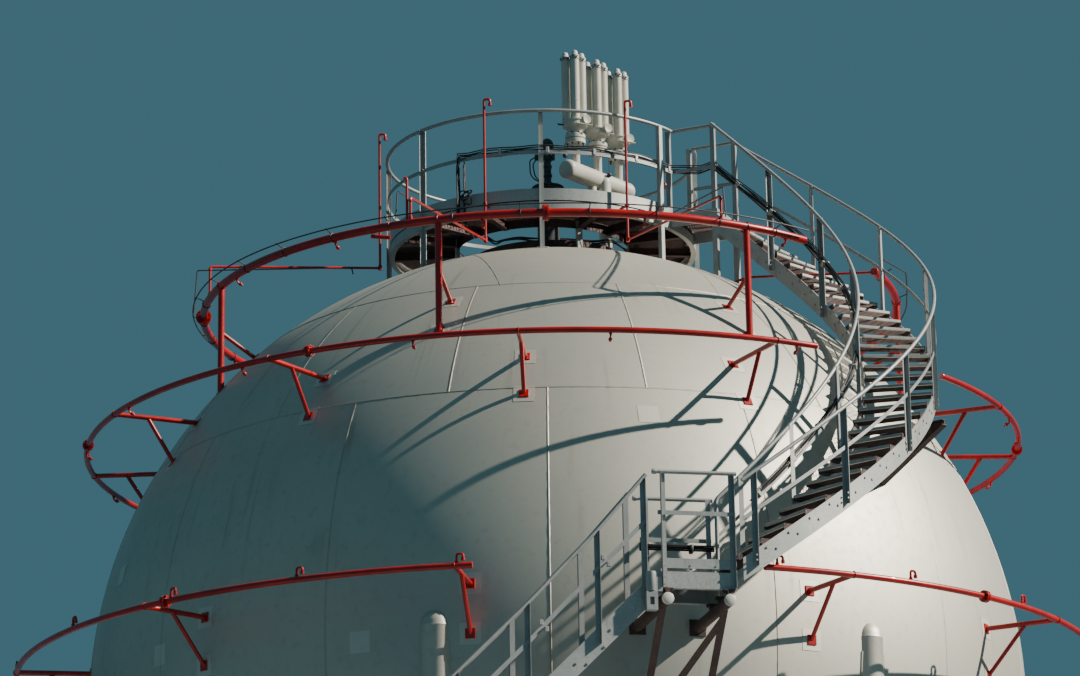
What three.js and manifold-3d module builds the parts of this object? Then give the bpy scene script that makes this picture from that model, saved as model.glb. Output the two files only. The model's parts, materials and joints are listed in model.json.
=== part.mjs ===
import * as THREE from "three";
import { mergeVertices } from "three/addons/utils/BufferGeometryUtils.js";
import Module from "manifold-3d";

// A spherical tank for liquefied gas, on seven pipe legs, with a spiral stair to its top platform.
// Millimetres, +Z up. Azimuth 0 faces -Y and grows towards +X. Heights are above the sphere's
// centre until the last lines, which stand the whole tank on the ground.

const wasm = await Module();
wasm.setup();

// Driving dimensions
const shellRadius = 6190;
const shellWall = 60;
const centreAboveGround = 10000;
const seatGap = 0.3;
const facetsAround = 42;
const crownSeam = 0.768 * shellRadius;
const beltSeam = 0.481 * shellRadius;

const legCount = 7;
const firstLegAzimuth = -13.4;
const legCircle = 6060;
const legRadius = 213;
const legTop = 155;
const footPlate = { side: 760, thickness: 40 };
const tieRod = { radius: 38, top: -2700, bottom: -9100, hub: 190 };

const topRing = { radius: 4727, height: 5439, pipe: 54, from: 65, to: 403.8 };
const middleRing = { radius: 6269, height: 3454, pipe: 38, from: 51.5, to: 391 };
const lowerRing = { radius: 7131, height: 409, pipe: 38, from: 20.1, to: 352.3 };
const topRingPosts = [-117.9, -66.5, -17, 32, 83.4, 134.8, 186.3];
const platformSprays = [
  { from: -21.5, corner: 5778, azimuth: -19.5, foot: 5931, top: 7908 },
  { from: 27.5, corner: 5797, azimuth: 30.4, foot: 5964, top: 7913 },
  { from: -74, corner: 5888, azimuth: -87.3, foot: 6204, top: 8150 },
  { from: 133, corner: 5790, azimuth: 131.3, foot: 5950, top: 7890 },
];
const sprayPipe = { radius: 17, away: 2240, hook: 80, tip: 70 };
const middleRingArms = [-93.5, -63.5, -33.3, -3.5, 26, 67.3, 91.8, 121, 151, 181, 210, 239];
const lowerRingArms = [-79.5, -43.7, -9.3, 29.5, 61, 95, 130, 165, 200, 238];

const deck = { centreX: -85, height: 6543, inner: 1180, rim: 2110, channel: 204, toeBoard: 100 };
const platformRailTop = 7753;
const platformPosts = [-144.6, -96.4, -48.2, 0, 48.2, 96.4, 144.6, 180];
const bridge = { azimuth: 66.4, near: -435, far: 420.5, reach: 2660 };

const landingHeight = 190;
const landing = { azimuth: 12, outer: 7700, inner: 6850, left: -400, right: 486 };
const landingEdge = { below: 208, above: 140 };
const landingRails = { outer: { top: 1175, flat: 665 }, inner: { top: 1080, flat: 565 } };
const bracketPipe = 67;
const spiral = {
  centreX: 1151,
  centreY: -3999,
  outer: 3633,
  inner: 2761,
  from: 16,
  to: 157.1,
  risers: 32,
  firstTread: 17.1,
  treadTurn: 4.56,
  stringerBelow: 268,
};
const spiralRail = { low: 905, high: 1245 };
const flight = { upperRisers: 25, lowerRisers: 26, going: 204, width: 850, halfwayLength: 1000 };
const flightStringer = { above: 40, below: 279 };
// Rail heights above the treads of the upper flight, which grow towards the landing, and of the lower
const upperRail = {
  offsets: [160, 742, 1562, 2382],
  top: [1262, 1156, 1091, 1084],
  flat: [728, 709, 640, 632],
};
const lowerRail = { offsets: [160], top: [1084], flat: [632] };
const halfwayRailHeight = 1100;
const halfwayLegs = { inset: 60, half: 50, plate: 110, lowTie: 600, highTie: 700 };
const flightPosts = [194, 742, 1562, 2382, 3202, 4022, 4842];
const stringerThickness = 14;
const railTube = 24;

const radians = THREE.MathUtils.degToRad;

// Materials, one for each kind of surface
function surface(color, roughness, metalness) {
  return new THREE.MeshStandardMaterial({ color, roughness, metalness });
}
const silverPaint = surface(0xc9c3b2, 0.45, 0.15);
const signalRed = surface(0xc8190f, 0.4, 0.05);
const galvanised = surface(0x8e928f, 0.55, 0.6);
const creamPaint = surface(0xd8d3c4, 0.45, 0.05);
const darkCast = surface(0x2c2e33, 0.6, 0.3);

// Solids: each helper gives a closed three.js geometry, and fuse and carve join or cut them
function solid(geometry) {
  const bare = geometry.index ? geometry.toNonIndexed() : geometry.clone();
  bare.deleteAttribute("normal");
  bare.deleteAttribute("uv");
  const merged = mergeVertices(bare, 1e-3);
  const corners = [];
  const index = merged.index.array;
  for (let i = 0; i < index.length; i += 3) {
    const [a, b, c] = [index[i], index[i + 1], index[i + 2]];
    if (a !== b && b !== c && c !== a) corners.push(a, b, c);
  }
  const mesh = new wasm.Mesh({
    numProp: 3,
    vertProperties: merged.attributes.position.array,
    triVerts: new Uint32Array(corners),
  });
  return new wasm.Manifold(mesh);
}

function geometryOf(manifold) {
  const mesh = manifold.getMesh();
  const positions = new Float32Array(mesh.numVert * 3);
  for (let i = 0; i < mesh.numVert; i++) {
    positions.set(mesh.vertProperties.subarray(i * mesh.numProp, i * mesh.numProp + 3), i * 3);
  }
  const geometry = new THREE.BufferGeometry();
  geometry.setAttribute("position", new THREE.BufferAttribute(positions, 3));
  geometry.setIndex(new THREE.BufferAttribute(new Uint32Array(mesh.triVerts), 1));
  return geometry;
}

function fuse(geometries) {
  return geometryOf(geometries.map(solid).reduce((whole, next) => whole.add(next)));
}

function carve(geometry, cutters) {
  return geometryOf(cutters.map(solid).reduce((whole, next) => whole.subtract(next), solid(geometry)));
}

function box(x0, x1, y0, y1, z0, z1) {
  const geometry = new THREE.BoxGeometry(x1 - x0, y1 - y0, z1 - z0);
  return geometry.translate((x0 + x1) / 2, (y0 + y1) / 2, (z0 + z1) / 2);
}

function turned(geometry, azimuth) {
  return geometry.rotateZ(radians(azimuth));
}

function lathe(outline, segments) {
  const points = outline.map(([r, z]) => new THREE.Vector2(r, z));
  return new THREE.LatheGeometry(points, segments).rotateX(Math.PI / 2);
}

function rod(from, to, radius, sides) {
  const start = new THREE.Vector3(...from);
  const end = new THREE.Vector3(...to);
  const along = end.clone().sub(start);
  const geometry = new THREE.CylinderGeometry(radius, radius, along.length(), sides);
  const turn = new THREE.Quaternion();
  turn.setFromUnitVectors(new THREE.Vector3(0, 1, 0), along.clone().normalize());
  geometry.applyQuaternion(turn);
  const middle = start.add(end).multiplyScalar(0.5);
  return geometry.translate(middle.x, middle.y, middle.z);
}

function upright(x, y, z0, z1, radius, sides) {
  const geometry = new THREE.CylinderGeometry(radius, radius, z1 - z0, sides);
  return geometry.rotateX(Math.PI / 2).translate(x, y, (z0 + z1) / 2);
}

// A pipe swept along a curve
function pipe(curve, radius, sides, steps) {
  const section = new THREE.Shape();
  for (let i = 0; i < sides; i++) {
    const turn = ((i + 0.5) / sides) * 2 * Math.PI;
    const point = [radius * Math.cos(turn), radius * Math.sin(turn)];
    if (i === 0) section.moveTo(...point);
    else section.lineTo(...point);
  }
  return new THREE.ExtrudeGeometry(section, { steps, bevelEnabled: false, extrudePath: curve });
}

// A body through a row of matching four-cornered sections, closed at both ends
function loft(sections) {
  const positions = sections.flat().flat();
  const corners = [];
  const count = sections[0].length;
  for (let s = 0; s + 1 < sections.length; s++) {
    for (let i = 0; i < count; i++) {
      const a = s * count + i;
      const b = s * count + ((i + 1) % count);
      corners.push(a, b, b + count, a, b + count, a + count);
    }
  }
  const last = (sections.length - 1) * count;
  for (let i = 1; i + 1 < count; i++) {
    corners.push(0, i + 1, i, last, last + i, last + i + 1);
  }
  const geometry = new THREE.BufferGeometry();
  geometry.setAttribute("position", new THREE.Float32BufferAttribute(positions, 3));
  geometry.setIndex(corners);
  return geometry;
}

class HelixPath extends THREE.Curve {
  constructor(centreX, centreY, radius, from, to, startHeight, endHeight) {
    super();
    Object.assign(this, { centreX, centreY, radius, from, to, startHeight, endHeight });
  }

  getPoint(t, target = new THREE.Vector3()) {
    const angle = radians(this.from + (this.to - this.from) * t);
    return target.set(
      this.centreX + this.radius * Math.sin(angle),
      this.centreY - this.radius * Math.cos(angle),
      this.startHeight + (this.endHeight - this.startHeight) * t,
    );
  }
}

// Flat bar on edge along a helix or a level arc: sections of width x height around its centre line
function helixBar(path, thickness, below, above, steps) {
  const sections = [];
  for (let i = 0; i <= steps; i++) {
    const t = i / steps;
    const angle = radians(path.from + (path.to - path.from) * t);
    const z = path.startHeight + (path.endHeight - path.startHeight) * t;
    const corner = (radius, height) => [
      path.centreX + radius * Math.sin(angle),
      path.centreY - radius * Math.cos(angle),
      height,
    ];
    const inside = path.radius - thickness / 2;
    const outside = path.radius + thickness / 2;
    sections.push([
      corner(inside, z - below),
      corner(outside, z - below),
      corner(outside, z + above),
      corner(inside, z + above),
    ]);
  }
  return loft(sections.map((section) => section.reverse()));
}

const tank = new THREE.Group();
tank.name = "spherical_gas_tank";

function node(name, geometry, material) {
  const mesh = new THREE.Mesh(geometry, material);
  mesh.name = name;
  tank.add(mesh);
}

// The shell, in the five courses of plates that its weld seams mark
const crownAngle = Math.asin(crownSeam / shellRadius);
const beltAngle = Math.asin(beltSeam / shellRadius);
const halfGap = seatGap / 2;

function arc(radius, fromAngle, toAngle, steps) {
  const points = [];
  for (let i = 0; i <= steps; i++) {
    const angle = fromAngle + ((toAngle - fromAngle) * i) / steps;
    points.push([Math.max(0, radius * Math.cos(angle)), radius * Math.sin(angle)]);
  }
  return points;
}

function course(fromAngle, toAngle, outerSteps, innerSteps) {
  const outer = arc(shellRadius, fromAngle, toAngle, outerSteps);
  const inner = arc(shellRadius - shellWall, toAngle, fromAngle, innerSteps);
  const bottom = outer[0][1] + halfGap;
  const top = outer[outer.length - 1][1] - halfGap;
  outer[0][1] = bottom;
  outer[outer.length - 1][1] = top;
  inner[0][1] = top;
  inner[inner.length - 1][1] = bottom;
  return lathe([...outer, ...inner, outer[0]], facetsAround);
}

function crown() {
  const outer = arc(shellRadius, crownAngle, Math.PI / 2, 4);
  const inner = arc(shellRadius - shellWall, Math.PI / 2, crownAngle, 2);
  outer[outer.length - 1][0] = 0;
  inner[0][0] = 0;
  outer[0][1] += halfGap;
  inner[inner.length - 1][1] = outer[0][1];
  return lathe([...inner, ...outer], facetsAround);
}

function ball(radius) {
  const north = [
    ...arc(radius, 0, beltAngle, 3),
    ...arc(radius, beltAngle, crownAngle, 2).slice(1),
    ...arc(radius, crownAngle, Math.PI / 2, 4).slice(1),
  ];
  north[north.length - 1][0] = 0;
  const south = north.slice(1).map(([r, z]) => [r, -z]);
  return lathe([...south.reverse(), ...north], facetsAround);
}

const shellSpace = () => ball(shellRadius + seatGap);
const crownBody = fuse([crown()]);
node("top_crown", crownBody, silverPaint);
node("upper_zone", fuse([course(beltAngle, crownAngle, 2, 1)]), silverPaint);
node("equator_belt", fuse([course(-beltAngle, beltAngle, 6, 4)]), silverPaint);
node("lower_zone", fuse([course(-crownAngle, -beltAngle, 2, 1)]), silverPaint);
node("bottom_crown", fuse([crownBody.clone().rotateX(Math.PI)]), silverPaint);

// Legs: pipes let into the equator, with domed heads, cut to fit the shell, each on a square foot plate
const legAzimuths = [];
for (let i = 0; i < legCount; i++) legAzimuths.push(firstLegAzimuth + (360 / legCount) * i);

function legColumn(radius) {
  const shoulder = legTop - radius;
  const outline = [
    [0, -centreAboveGround],
    [radius, -centreAboveGround],
    [radius, shoulder],
    [radius * 0.87, shoulder + radius * 0.5],
    [radius * 0.5, shoulder + radius * 0.87],
    [0, shoulder + radius],
  ];
  return lathe(outline, 12).translate(0, -legCircle, 0);
}

legAzimuths.forEach((azimuth, i) => {
  const half = footPlate.side / 2;
  const ground = -centreAboveGround;
  const foot = box(
    -half,
    half,
    -legCircle - half,
    -legCircle + half,
    ground,
    ground + footPlate.thickness,
  );
  const standing = turned(fuse([legColumn(legRadius), foot]), azimuth);
  node("leg_" + (i + 1), carve(standing, [shellSpace()]), silverPaint);
});

// Crossed tie rods between neighbouring legs, joined by a hub plate where they cross
const bayTurn = 180 / legCount;
const halfBay = legCircle * Math.sin(radians(bayTurn));
const bayDistance = legCircle * Math.cos(radians(bayTurn));
legAzimuths.forEach((azimuth, i) => {
  const y = -bayDistance;
  const { radius, top, bottom, hub } = tieRod;
  const middle = (top + bottom) / 2;
  const rodEnd = halfBay - 300;
  const rodLift = ((top - bottom) / 2) * (rodEnd / halfBay);
  const parts = [
    rod([-rodEnd, y, middle + rodLift], [rodEnd, y, middle - rodLift], radius, 4),
    rod([-rodEnd, y, middle - rodLift], [rodEnd, y, middle + rodLift], radius, 4),
    rod([0, y - 55, middle], [0, y + 55, middle], hub, 8),
  ];
  for (const x of [halfBay - 170, 170 - halfBay]) {
    for (const z of [middle + rodLift, middle - rodLift]) {
      const outward = z > middle ? 60 : -60;
      parts.push(box(x - 200, x + 200, y - 45, y + 45, z + outward - 170, z + outward + 170));
    }
  }
  const rods = turned(fuse(parts), azimuth + bayTurn);
  const neighbours = [azimuth, azimuth + 2 * bayTurn].map((a) => turned(legColumn(legRadius + seatGap), a));
  node("tie_rods_" + (i + 1), carve(rods, neighbours), galvanised);
});

// Bottom outlet: a short nozzle with its flange
const outlet = fuse([
  upright(0, 0, -shellRadius - 330, -shellRadius + 200, 110, 12),
  upright(0, 0, -shellRadius - 370, -shellRadius - 310, 185, 12),
]);
node("bottom_outlet", carve(outlet, [shellSpace()]), creamPaint);

// Red water rings that cool the shell, each open where the stair passes
function ringPipe(ring, sides, steps) {
  const path = new HelixPath(0, 0, ring.radius, ring.from, ring.to, ring.height, ring.height);
  return pipe(path, ring.pipe, sides, steps);
}

function shellHeightAt(radius) {
  return Math.sqrt(shellRadius ** 2 - radius ** 2);
}

function shellRadiusAt(height) {
  return Math.sqrt(shellRadius ** 2 - height ** 2);
}

const topRingBody = [ringPipe(topRing, 6, 32)];
for (const azimuth of topRingPosts) {
  const y = -topRing.radius;
  const foot = shellHeightAt(topRing.radius);
  const braceFoot = 0.688 * shellRadius;
  topRingBody.push(
    turned(upright(0, y, foot - 120, topRing.height, 42, 6), azimuth),
    turned(rod([0, y, 4790], [0, 60 - braceFoot, shellHeightAt(braceFoot) - 60], 26, 4), azimuth),
  );
}
// Sprays round the platform: each leaves the ring upwards, crosses to a riser and hooks over at its top
for (const spray of platformSprays) {
  const { radius, away, hook, tip } = sprayPipe;
  const start = radians(spray.from);
  const turn = radians(spray.azimuth);
  const ringX = topRing.radius * Math.sin(start);
  const ringY = -topRing.radius * Math.cos(start);
  const x = deck.centreX + away * Math.sin(turn);
  const y = -away * Math.cos(turn);
  topRingBody.push(
    upright(ringX, ringY, topRing.height, spray.corner + radius, radius, 6),
    rod([ringX, ringY, spray.corner], [x, y, spray.foot], radius, 6),
    upright(x, y, spray.foot - radius, spray.top, radius, 6),
    rod([x - radius, y, spray.top], [x + hook, y, spray.top], radius, 6),
    upright(x + hook, y, spray.top - tip, spray.top + radius / 2, radius, 6),
  );
}
node("spray_ring_top", carve(fuse(topRingBody), [shellSpace()]), signalRed);

// One bracket: a level arm from the ring to the shell, with a brace below it, as one flat outline
function bracket(ring, brace) {
  const half = 38;
  const shellSide = shellRadiusAt(ring.height) - 80;
  const start = ring.radius + (shellSide - ring.radius) * brace.share;
  const endHeight = -brace.drop;
  const end = shellRadiusAt(ring.height + endHeight) - 60;
  const along = new THREE.Vector2(end - start, endHeight).normalize();
  const braceEdge = (side, height) => {
    const travel = (height - side * half * along.x) / along.y;
    return [start - side * half * along.y + travel * along.x, height];
  };
  const outline = [
    [ring.radius, half],
    [shellSide, half],
    [shellSide, -half],
    braceEdge(-1, -half),
    braceEdge(-1, endHeight - 60),
    braceEdge(1, endHeight - 60),
    braceEdge(1, -half),
    [ring.radius, -half],
  ];
  const shape = new THREE.Shape(outline.map(([r, z]) => new THREE.Vector2(r, z)));
  const geometry = new THREE.ExtrudeGeometry(shape, { depth: 60, bevelEnabled: false });
  const basis = new THREE.Matrix4().makeBasis(
    new THREE.Vector3(0, -1, 0),
    new THREE.Vector3(0, 0, 1),
    new THREE.Vector3(-1, 0, 0),
  );
  return geometry.translate(0, 0, -30).applyMatrix4(basis).translate(0, 0, ring.height);
}

function bracketedRing(ring, azimuths, brace) {
  const bodies = [ringPipe(ring, 6, 36)];
  for (const azimuth of azimuths) bodies.push(turned(bracket(ring, brace), azimuth));
  return carve(fuse(bodies), [shellSpace()]);
}

node("spray_ring_middle", bracketedRing(middleRing, middleRingArms, { share: 0.4, drop: 560 }), signalRed);
node("spray_ring_lower", bracketedRing(lowerRing, lowerRingArms, { share: 0.45, drop: 600 }), signalRed);

// Top platform: a ring of grating round the nozzles, with an edge channel and toe board,
// a bridge to the stair, radial beams below, and posts to the crown
const onDeck = (geometry, azimuth) => turned(geometry, azimuth).translate(deck.centreX, 0, 0);
const bridgeFrame = (geometry) => turned(geometry, bridge.azimuth);
const deckRing = lathe(
  [
    [deck.inner, deck.height - 140],
    [deck.inner + 12, deck.height - 140],
    [deck.inner + 12, deck.height - 40],
    [deck.rim - 70, deck.height - 40],
    [deck.rim - 70, deck.height - deck.channel],
    [deck.rim, deck.height - deck.channel],
    [deck.rim, deck.height + deck.toeBoard],
    [deck.rim - 12, deck.height + deck.toeBoard],
    [deck.rim - 12, deck.height],
    [deck.inner, deck.height],
    [deck.inner, deck.height - 140],
  ],
  28,
);
const bridgeStart = 250 - deck.rim;
const bridgeGap = bridgeFrame(
  box(bridge.near, bridge.far, -bridge.reach, bridgeStart, deck.height + 0.01, deck.height + 300),
);
const deckParts = [
  carve(onDeck(deckRing, 0), [bridgeGap]),
  bridgeFrame(
    box(bridge.near, bridge.far, -bridge.reach, bridgeStart, deck.height - 40, deck.height),
  ),
];
for (const azimuth of platformPosts) {
  deckParts.push(
    onDeck(box(-30, 30, 40 - deck.rim, -deck.inner - 5, deck.height - 150, deck.height - 30), azimuth),
    onDeck(box(-35, 35, -deck.rim - 50, 20 - deck.rim, 5500, deck.height - 110), azimuth),
  );
}
for (const azimuth of [-135, -72, 24, 120]) {
  deckParts.push(
    onDeck(box(-35, 35, -deck.inner - 70, 5 - deck.inner, 5900, deck.height - 30), azimuth),
  );
}
for (const x of [bridge.near, bridge.far - 10]) {
  deckParts.push(
    bridgeFrame(box(x, x + 10, -bridge.reach, bridgeStart, deck.height - 180, deck.height - 20)),
  );
}
for (const x of [bridge.near + 40, bridge.far - 40]) {
  const y = 45 - bridge.reach;
  deckParts.push(bridgeFrame(box(x - 35, x + 35, y - 35, y + 35, 5350, deck.height - 20)));
}
node("top_platform", carve(fuse(deckParts), [shellSpace()]), galvanised);

// Handrail of the platform and its bridge
const railLine = platformRailTop - railTube;
const railRadius = deck.rim + 25;
const centreInBridge = new THREE.Vector2(deck.centreX, 0);
centreInBridge.rotateAround(new THREE.Vector2(), -radians(bridge.azimuth));
const bridgeSides = [bridge.near + 31, bridge.far - 31].map((x) => {
  const across = x - centreInBridge.x;
  const y = centreInBridge.y - Math.sqrt(railRadius ** 2 - across ** 2);
  const azimuth = bridge.azimuth + THREE.MathUtils.radToDeg(Math.asin(across / railRadius));
  return { x, y, azimuth };
});
const railFrom = bridgeSides[1].azimuth;
const railTo = bridgeSides[0].azimuth + 360;
function railArc(z) {
  return new HelixPath(deck.centreX, 0, railRadius, railFrom, railTo, z, z);
}
const platformRail = [
  pipe(railArc(railLine), railTube, 6, 28),
  helixBar(railArc(deck.height + 600), 8, 25, 25, 28),
];
for (const azimuth of platformPosts) {
  const foot = deck.height - 110 + seatGap;
  platformRail.push(onDeck(box(-30, 30, -deck.rim - 50, -deck.rim - seatGap, foot, railLine), azimuth));
}
for (const { x, y } of bridgeSides) {
  const end = 45 - bridge.reach;
  const foot = deck.height + seatGap;
  platformRail.push(
    bridgeFrame(rod([x, y, railLine], [x, end - railTube, railLine], railTube, 6)),
    bridgeFrame(box(x - 4, x + 4, end, y, deck.height + 575, deck.height + 625)),
    bridgeFrame(box(x - 30, x + 30, end - 30, end + 30, foot, railLine)),
    bridgeFrame(box(x - 30, x + 30, y + 30, y + 90, foot, railLine)),
    bridgeFrame(box(x - 30, x + 30, y - 10, y + 90, railLine - 60, railLine)),
  );
}
node("platform_handrail", fuse(platformRail), galvanised);

// Vent header: a level vessel with an elbow neck to the crown and a drain stub
const header = { from: [225, -1191, 7240], to: [1135, -35, 7240], radius: 130 };
const headerPoint = (share) => {
  return header.from.map((value, axis) => value + (header.to[axis] - value) * share);
};
function vessel(from, to, radius, sides) {
  const length = new THREE.Vector3(...from).distanceTo(new THREE.Vector3(...to));
  const half = length / 2;
  const head = [
    [0, half],
    [radius * 0.6, half - radius * 0.1],
    [radius * 0.9, half - radius * 0.28],
    [radius, half - radius * 0.5],
  ];
  const tail = head.map(([r, z]) => [r, -z]);
  const body = lathe([...tail, ...head.reverse()], sides);
  const along = new THREE.Vector3(...to).sub(new THREE.Vector3(...from)).normalize();
  const turn = new THREE.Quaternion().setFromUnitVectors(new THREE.Vector3(0, 0, 1), along);
  const middle = new THREE.Vector3(...from).add(new THREE.Vector3(...to)).multiplyScalar(0.5);
  return body.applyQuaternion(turn).translate(middle.x, middle.y, middle.z);
}
const branch = headerPoint(0.583);
const neck = [branch[0] + 20, branch[1] - 120];
const drain = headerPoint(0.42);
const headerBody = fuse([
  vessel(header.from, header.to, header.radius, 16),
  rod(branch, [...neck, branch[2] - 25], 90, 12),
  upright(...neck, 6000, branch[2] + 30, 95, 12),
  upright(...neck, deck.height + 150, deck.height + 205, 150, 12),
  upright(drain[0], drain[1], header.from[2] - 240, header.from[2], 60, 10),
  upright(drain[0], drain[1], header.from[2] - 280, header.from[2] - 230, 105, 10),
]);
const headerSkin = vessel(header.from, header.to, header.radius + seatGap, 16);
node("vent_header", carve(headerBody, [shellSpace()]), creamPaint);

// Relief stacks: riser, flanges, valve body, and three capped vent pipes side by side
const stack = {
  riser: 59,
  flange: 7640,
  flangeRadius: 139,
  body: 7884,
  bodyRadius: 165,
  bodyTop: 7970,
  pipe: 58,
  collar: 8846,
  dome: 8920,
  top: 8980,
  pipes: [
    [13, -71],
    [-116, 15],
    [104, 57],
  ],
};
[0.176, 0.507, 0.827].forEach((share, i) => {
  const [x, y, z] = headerPoint(share);
  const body = lathe(
    [
      [0, z],
      [stack.riser, z],
      [stack.riser, stack.flange],
      [stack.flangeRadius, stack.flange],
      [stack.flangeRadius, stack.flange + 60],
      [100, stack.flange + 67],
      [stack.flangeRadius, stack.flange + 74],
      [stack.flangeRadius, stack.flange + 134],
      [88, stack.flange + 146],
      [stack.bodyRadius - 6, stack.body],
      [stack.bodyRadius, stack.body + 10],
      [stack.bodyRadius, stack.bodyTop],
      [0, stack.bodyTop],
    ],
    12,
  ).translate(x, y, 0);
  const parts = [body];
  for (const [dx, dy] of stack.pipes) {
    parts.push(
      upright(x + dx, y + dy, stack.bodyTop - 20, stack.collar + 5, stack.pipe, 8),
      upright(x + dx, y + dy, stack.collar, stack.dome, stack.pipe + 8, 8),
      upright(x + dx, y + dy, stack.dome - 5, stack.top, 42, 8),
    );
  }
  node("relief_stack_" + (i + 1), carve(fuse(parts), [headerSkin]), creamPaint);
});

// Level gauge on its tall nozzle, and the manway, both on the crown
const gauge = { x: 0, y: -900, nozzleTop: 7060, stemTop: 7441, top: 7759 };
const gaugeBody = fuse([
  upright(gauge.x, gauge.y, 5900, gauge.nozzleTop, 150, 12),
  upright(gauge.x, gauge.y, gauge.nozzleTop - 60, gauge.nozzleTop, 218, 14),
  upright(gauge.x, gauge.y, gauge.nozzleTop, gauge.stemTop + 10, 46, 8),
  box(gauge.x - 170, gauge.x + 100, gauge.y - 60, gauge.y + 60, gauge.stemTop, gauge.stemTop + 100),
  upright(gauge.x, gauge.y, gauge.stemTop + 90, gauge.top - 60, 88, 12),
  upright(gauge.x, gauge.y, gauge.top - 60, gauge.top, 52, 12),
]);
node("gauge_valve", carve(gaugeBody, [shellSpace()]), darkCast);
const manway = { x: -560, y: 380, radius: 250, neckTop: 6350 };
const manwayBody = fuse([
  upright(manway.x, manway.y, 5900, manway.neckTop, manway.radius, 16),
  upright(manway.x, manway.y, manway.neckTop - 20, manway.neckTop + 110, manway.radius + 95, 16),
]);
node("manway", carve(manwayBody, [shellSpace()]), creamPaint);

// Spiral stair
const spiralRise = (deck.height - landingHeight) / spiral.risers;
function spiralHeight(angle) {
  return landingHeight + spiralRise * ((angle - spiral.firstTread) / spiral.treadTurn + 1);
}
function spiralPath(radius, lowLift, highLift) {
  return new HelixPath(
    spiral.centreX,
    spiral.centreY,
    radius,
    spiral.from,
    spiral.to,
    spiralHeight(spiral.from) + lowLift,
    spiralHeight(spiral.to) + highLift,
  );
}
const spiralBody = [spiral.outer, spiral.inner].map((radius) => {
  return helixBar(spiralPath(radius, 0, 0), stringerThickness, spiral.stringerBelow, 0, spiral.risers);
});
for (let i = 1; i < spiral.risers; i++) {
  const tread = box(-120, 120, -spiral.outer, -spiral.inner, -35, 0);
  turned(tread, spiral.firstTread + spiral.treadTurn * (i - 1));
  spiralBody.push(tread.translate(spiral.centreX, spiral.centreY, landingHeight + spiralRise * i));
}
node("spiral_stair", fuse(spiralBody), galvanised);

// Each post of the outer rail has its fellow on the inner rail, apart from the first
const pairedPosts = [38, 57.7, 75.8, 97, 118.8, 139];
// The faceted stringers run up to 2.7 mm inside their circles, and the posts clear their corners
for (const { name, radius, side, clearance, firstPost } of [
  { name: "spiral_outer_handrail", radius: spiral.outer, side: 1, clearance: seatGap, firstPost: 18.3 },
  { name: "spiral_inner_handrail", radius: spiral.inner, side: -1, clearance: 2.6, firstPost: 22.5 },
]) {
  const away = radius + side * (stringerThickness / 2 + clearance + 30);
  const rail = [
    pipe(spiralPath(away, spiralRail.low, spiralRail.high), railTube, 6, 24),
    helixBar(spiralPath(away, spiralRail.low / 2, spiralRail.high / 2), 8, 25, 25, 24),
  ];
  for (const angle of [firstPost, ...pairedPosts]) {
    const share = (angle - spiral.from) / (spiral.to - spiral.from);
    const reach = spiralRail.low + (spiralRail.high - spiralRail.low) * share;
    const post = turned(box(-30, 30, -away - 30, -away + 30, -190, reach), angle);
    rail.push(post.translate(spiral.centreX, spiral.centreY, spiralHeight(angle)));
  }
  node(name, fuse(rail), galvanised);
}

// Landing at the equator, in a frame turned to its azimuth
const onLanding = (geometry) => turned(geometry, landing.azimuth);
const landingFoot = landingHeight - landingEdge.below;
const landingBody = [
  box(landing.left, landing.right, -landing.outer, -landing.inner, landingHeight - 40, landingHeight),
  box(
    landing.left,
    landing.right,
    -landing.outer,
    -landing.outer + 12,
    landingFoot,
    landingHeight + landingEdge.above,
  ),
  box(landing.left, landing.right, -landing.inner - 12, -landing.inner, landingFoot, landingHeight),
];
node("landing_deck", onLanding(fuse(landingBody)), galvanised);

// Two pipe brackets carry the landing, each with a saddle plate and a brace to the shell. A cross
// strut runs from the right brace down to the left one.
const saddle = landingFoot - seatGap;
const bracketAxis = saddle - 126;
const braceStart = { y: -landing.outer + 250, z: bracketAxis };
const braceEnd = { y: -5900, z: bracketAxis - 1500 };
function onBrace(x, share) {
  const { lerp } = THREE.MathUtils;
  return [x, lerp(braceStart.y, braceEnd.y, share), lerp(braceStart.z, braceEnd.z, share)];
}
const bracketX = { left: landing.left + bracketPipe + 0.5, right: landing.right - 90 };
const crossStrut = rod(onBrace(bracketX.right, 0.08), onBrace(bracketX.left, 0.85), 40, 8);
const leftBraceSpace = rod(onBrace(bracketX.left, 0), onBrace(bracketX.left, 1), 45 + seatGap, 8);
for (const [side, x] of Object.entries(bracketX)) {
  const parts = [
    rod([x, -landing.outer - 40, bracketAxis], [x, -6050, bracketAxis], bracketPipe, 12),
    box(x - bracketPipe, x + bracketPipe, -landing.outer, -landing.inner, bracketAxis + 40, saddle),
    rod(onBrace(x, 0), onBrace(x, 1), 45, 8),
  ];
  const cutters = [shellSpace()];
  if (side === "right") {
    parts.push(crossStrut);
    cutters.push(onLanding(leftBraceSpace));
  }
  node("landing_bracket_" + side, carve(onLanding(fuse(parts)), cutters), galvanised);
}

function landingRail(y, side, right, heights) {
  const high = landingHeight + heights.top - railTube;
  const flat = landingHeight + heights.flat;
  const middle = y + side * (seatGap + 30);
  const parts = [
    rod([landing.left, middle, high], [right, middle, high], railTube, 6),
    box(landing.left, right, middle - 4, middle + 4, flat - 25, flat + 25),
  ];
  for (const x of [landing.left + 40, right - 40]) {
    parts.push(box(x - 30, x + 30, middle - 30, middle + 30, landingFoot + 10, high));
  }
  return onLanding(fuse(parts));
}
const outerLandingRail = landingRail(-landing.outer, -1, landing.right, landingRails.outer);
const innerLandingRail = landingRail(-landing.inner, 1, landing.right - 60, landingRails.inner);
node("landing_outer_handrail", outerLandingRail, galvanised);
node("landing_inner_handrail", innerLandingRail, galvanised);

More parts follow.
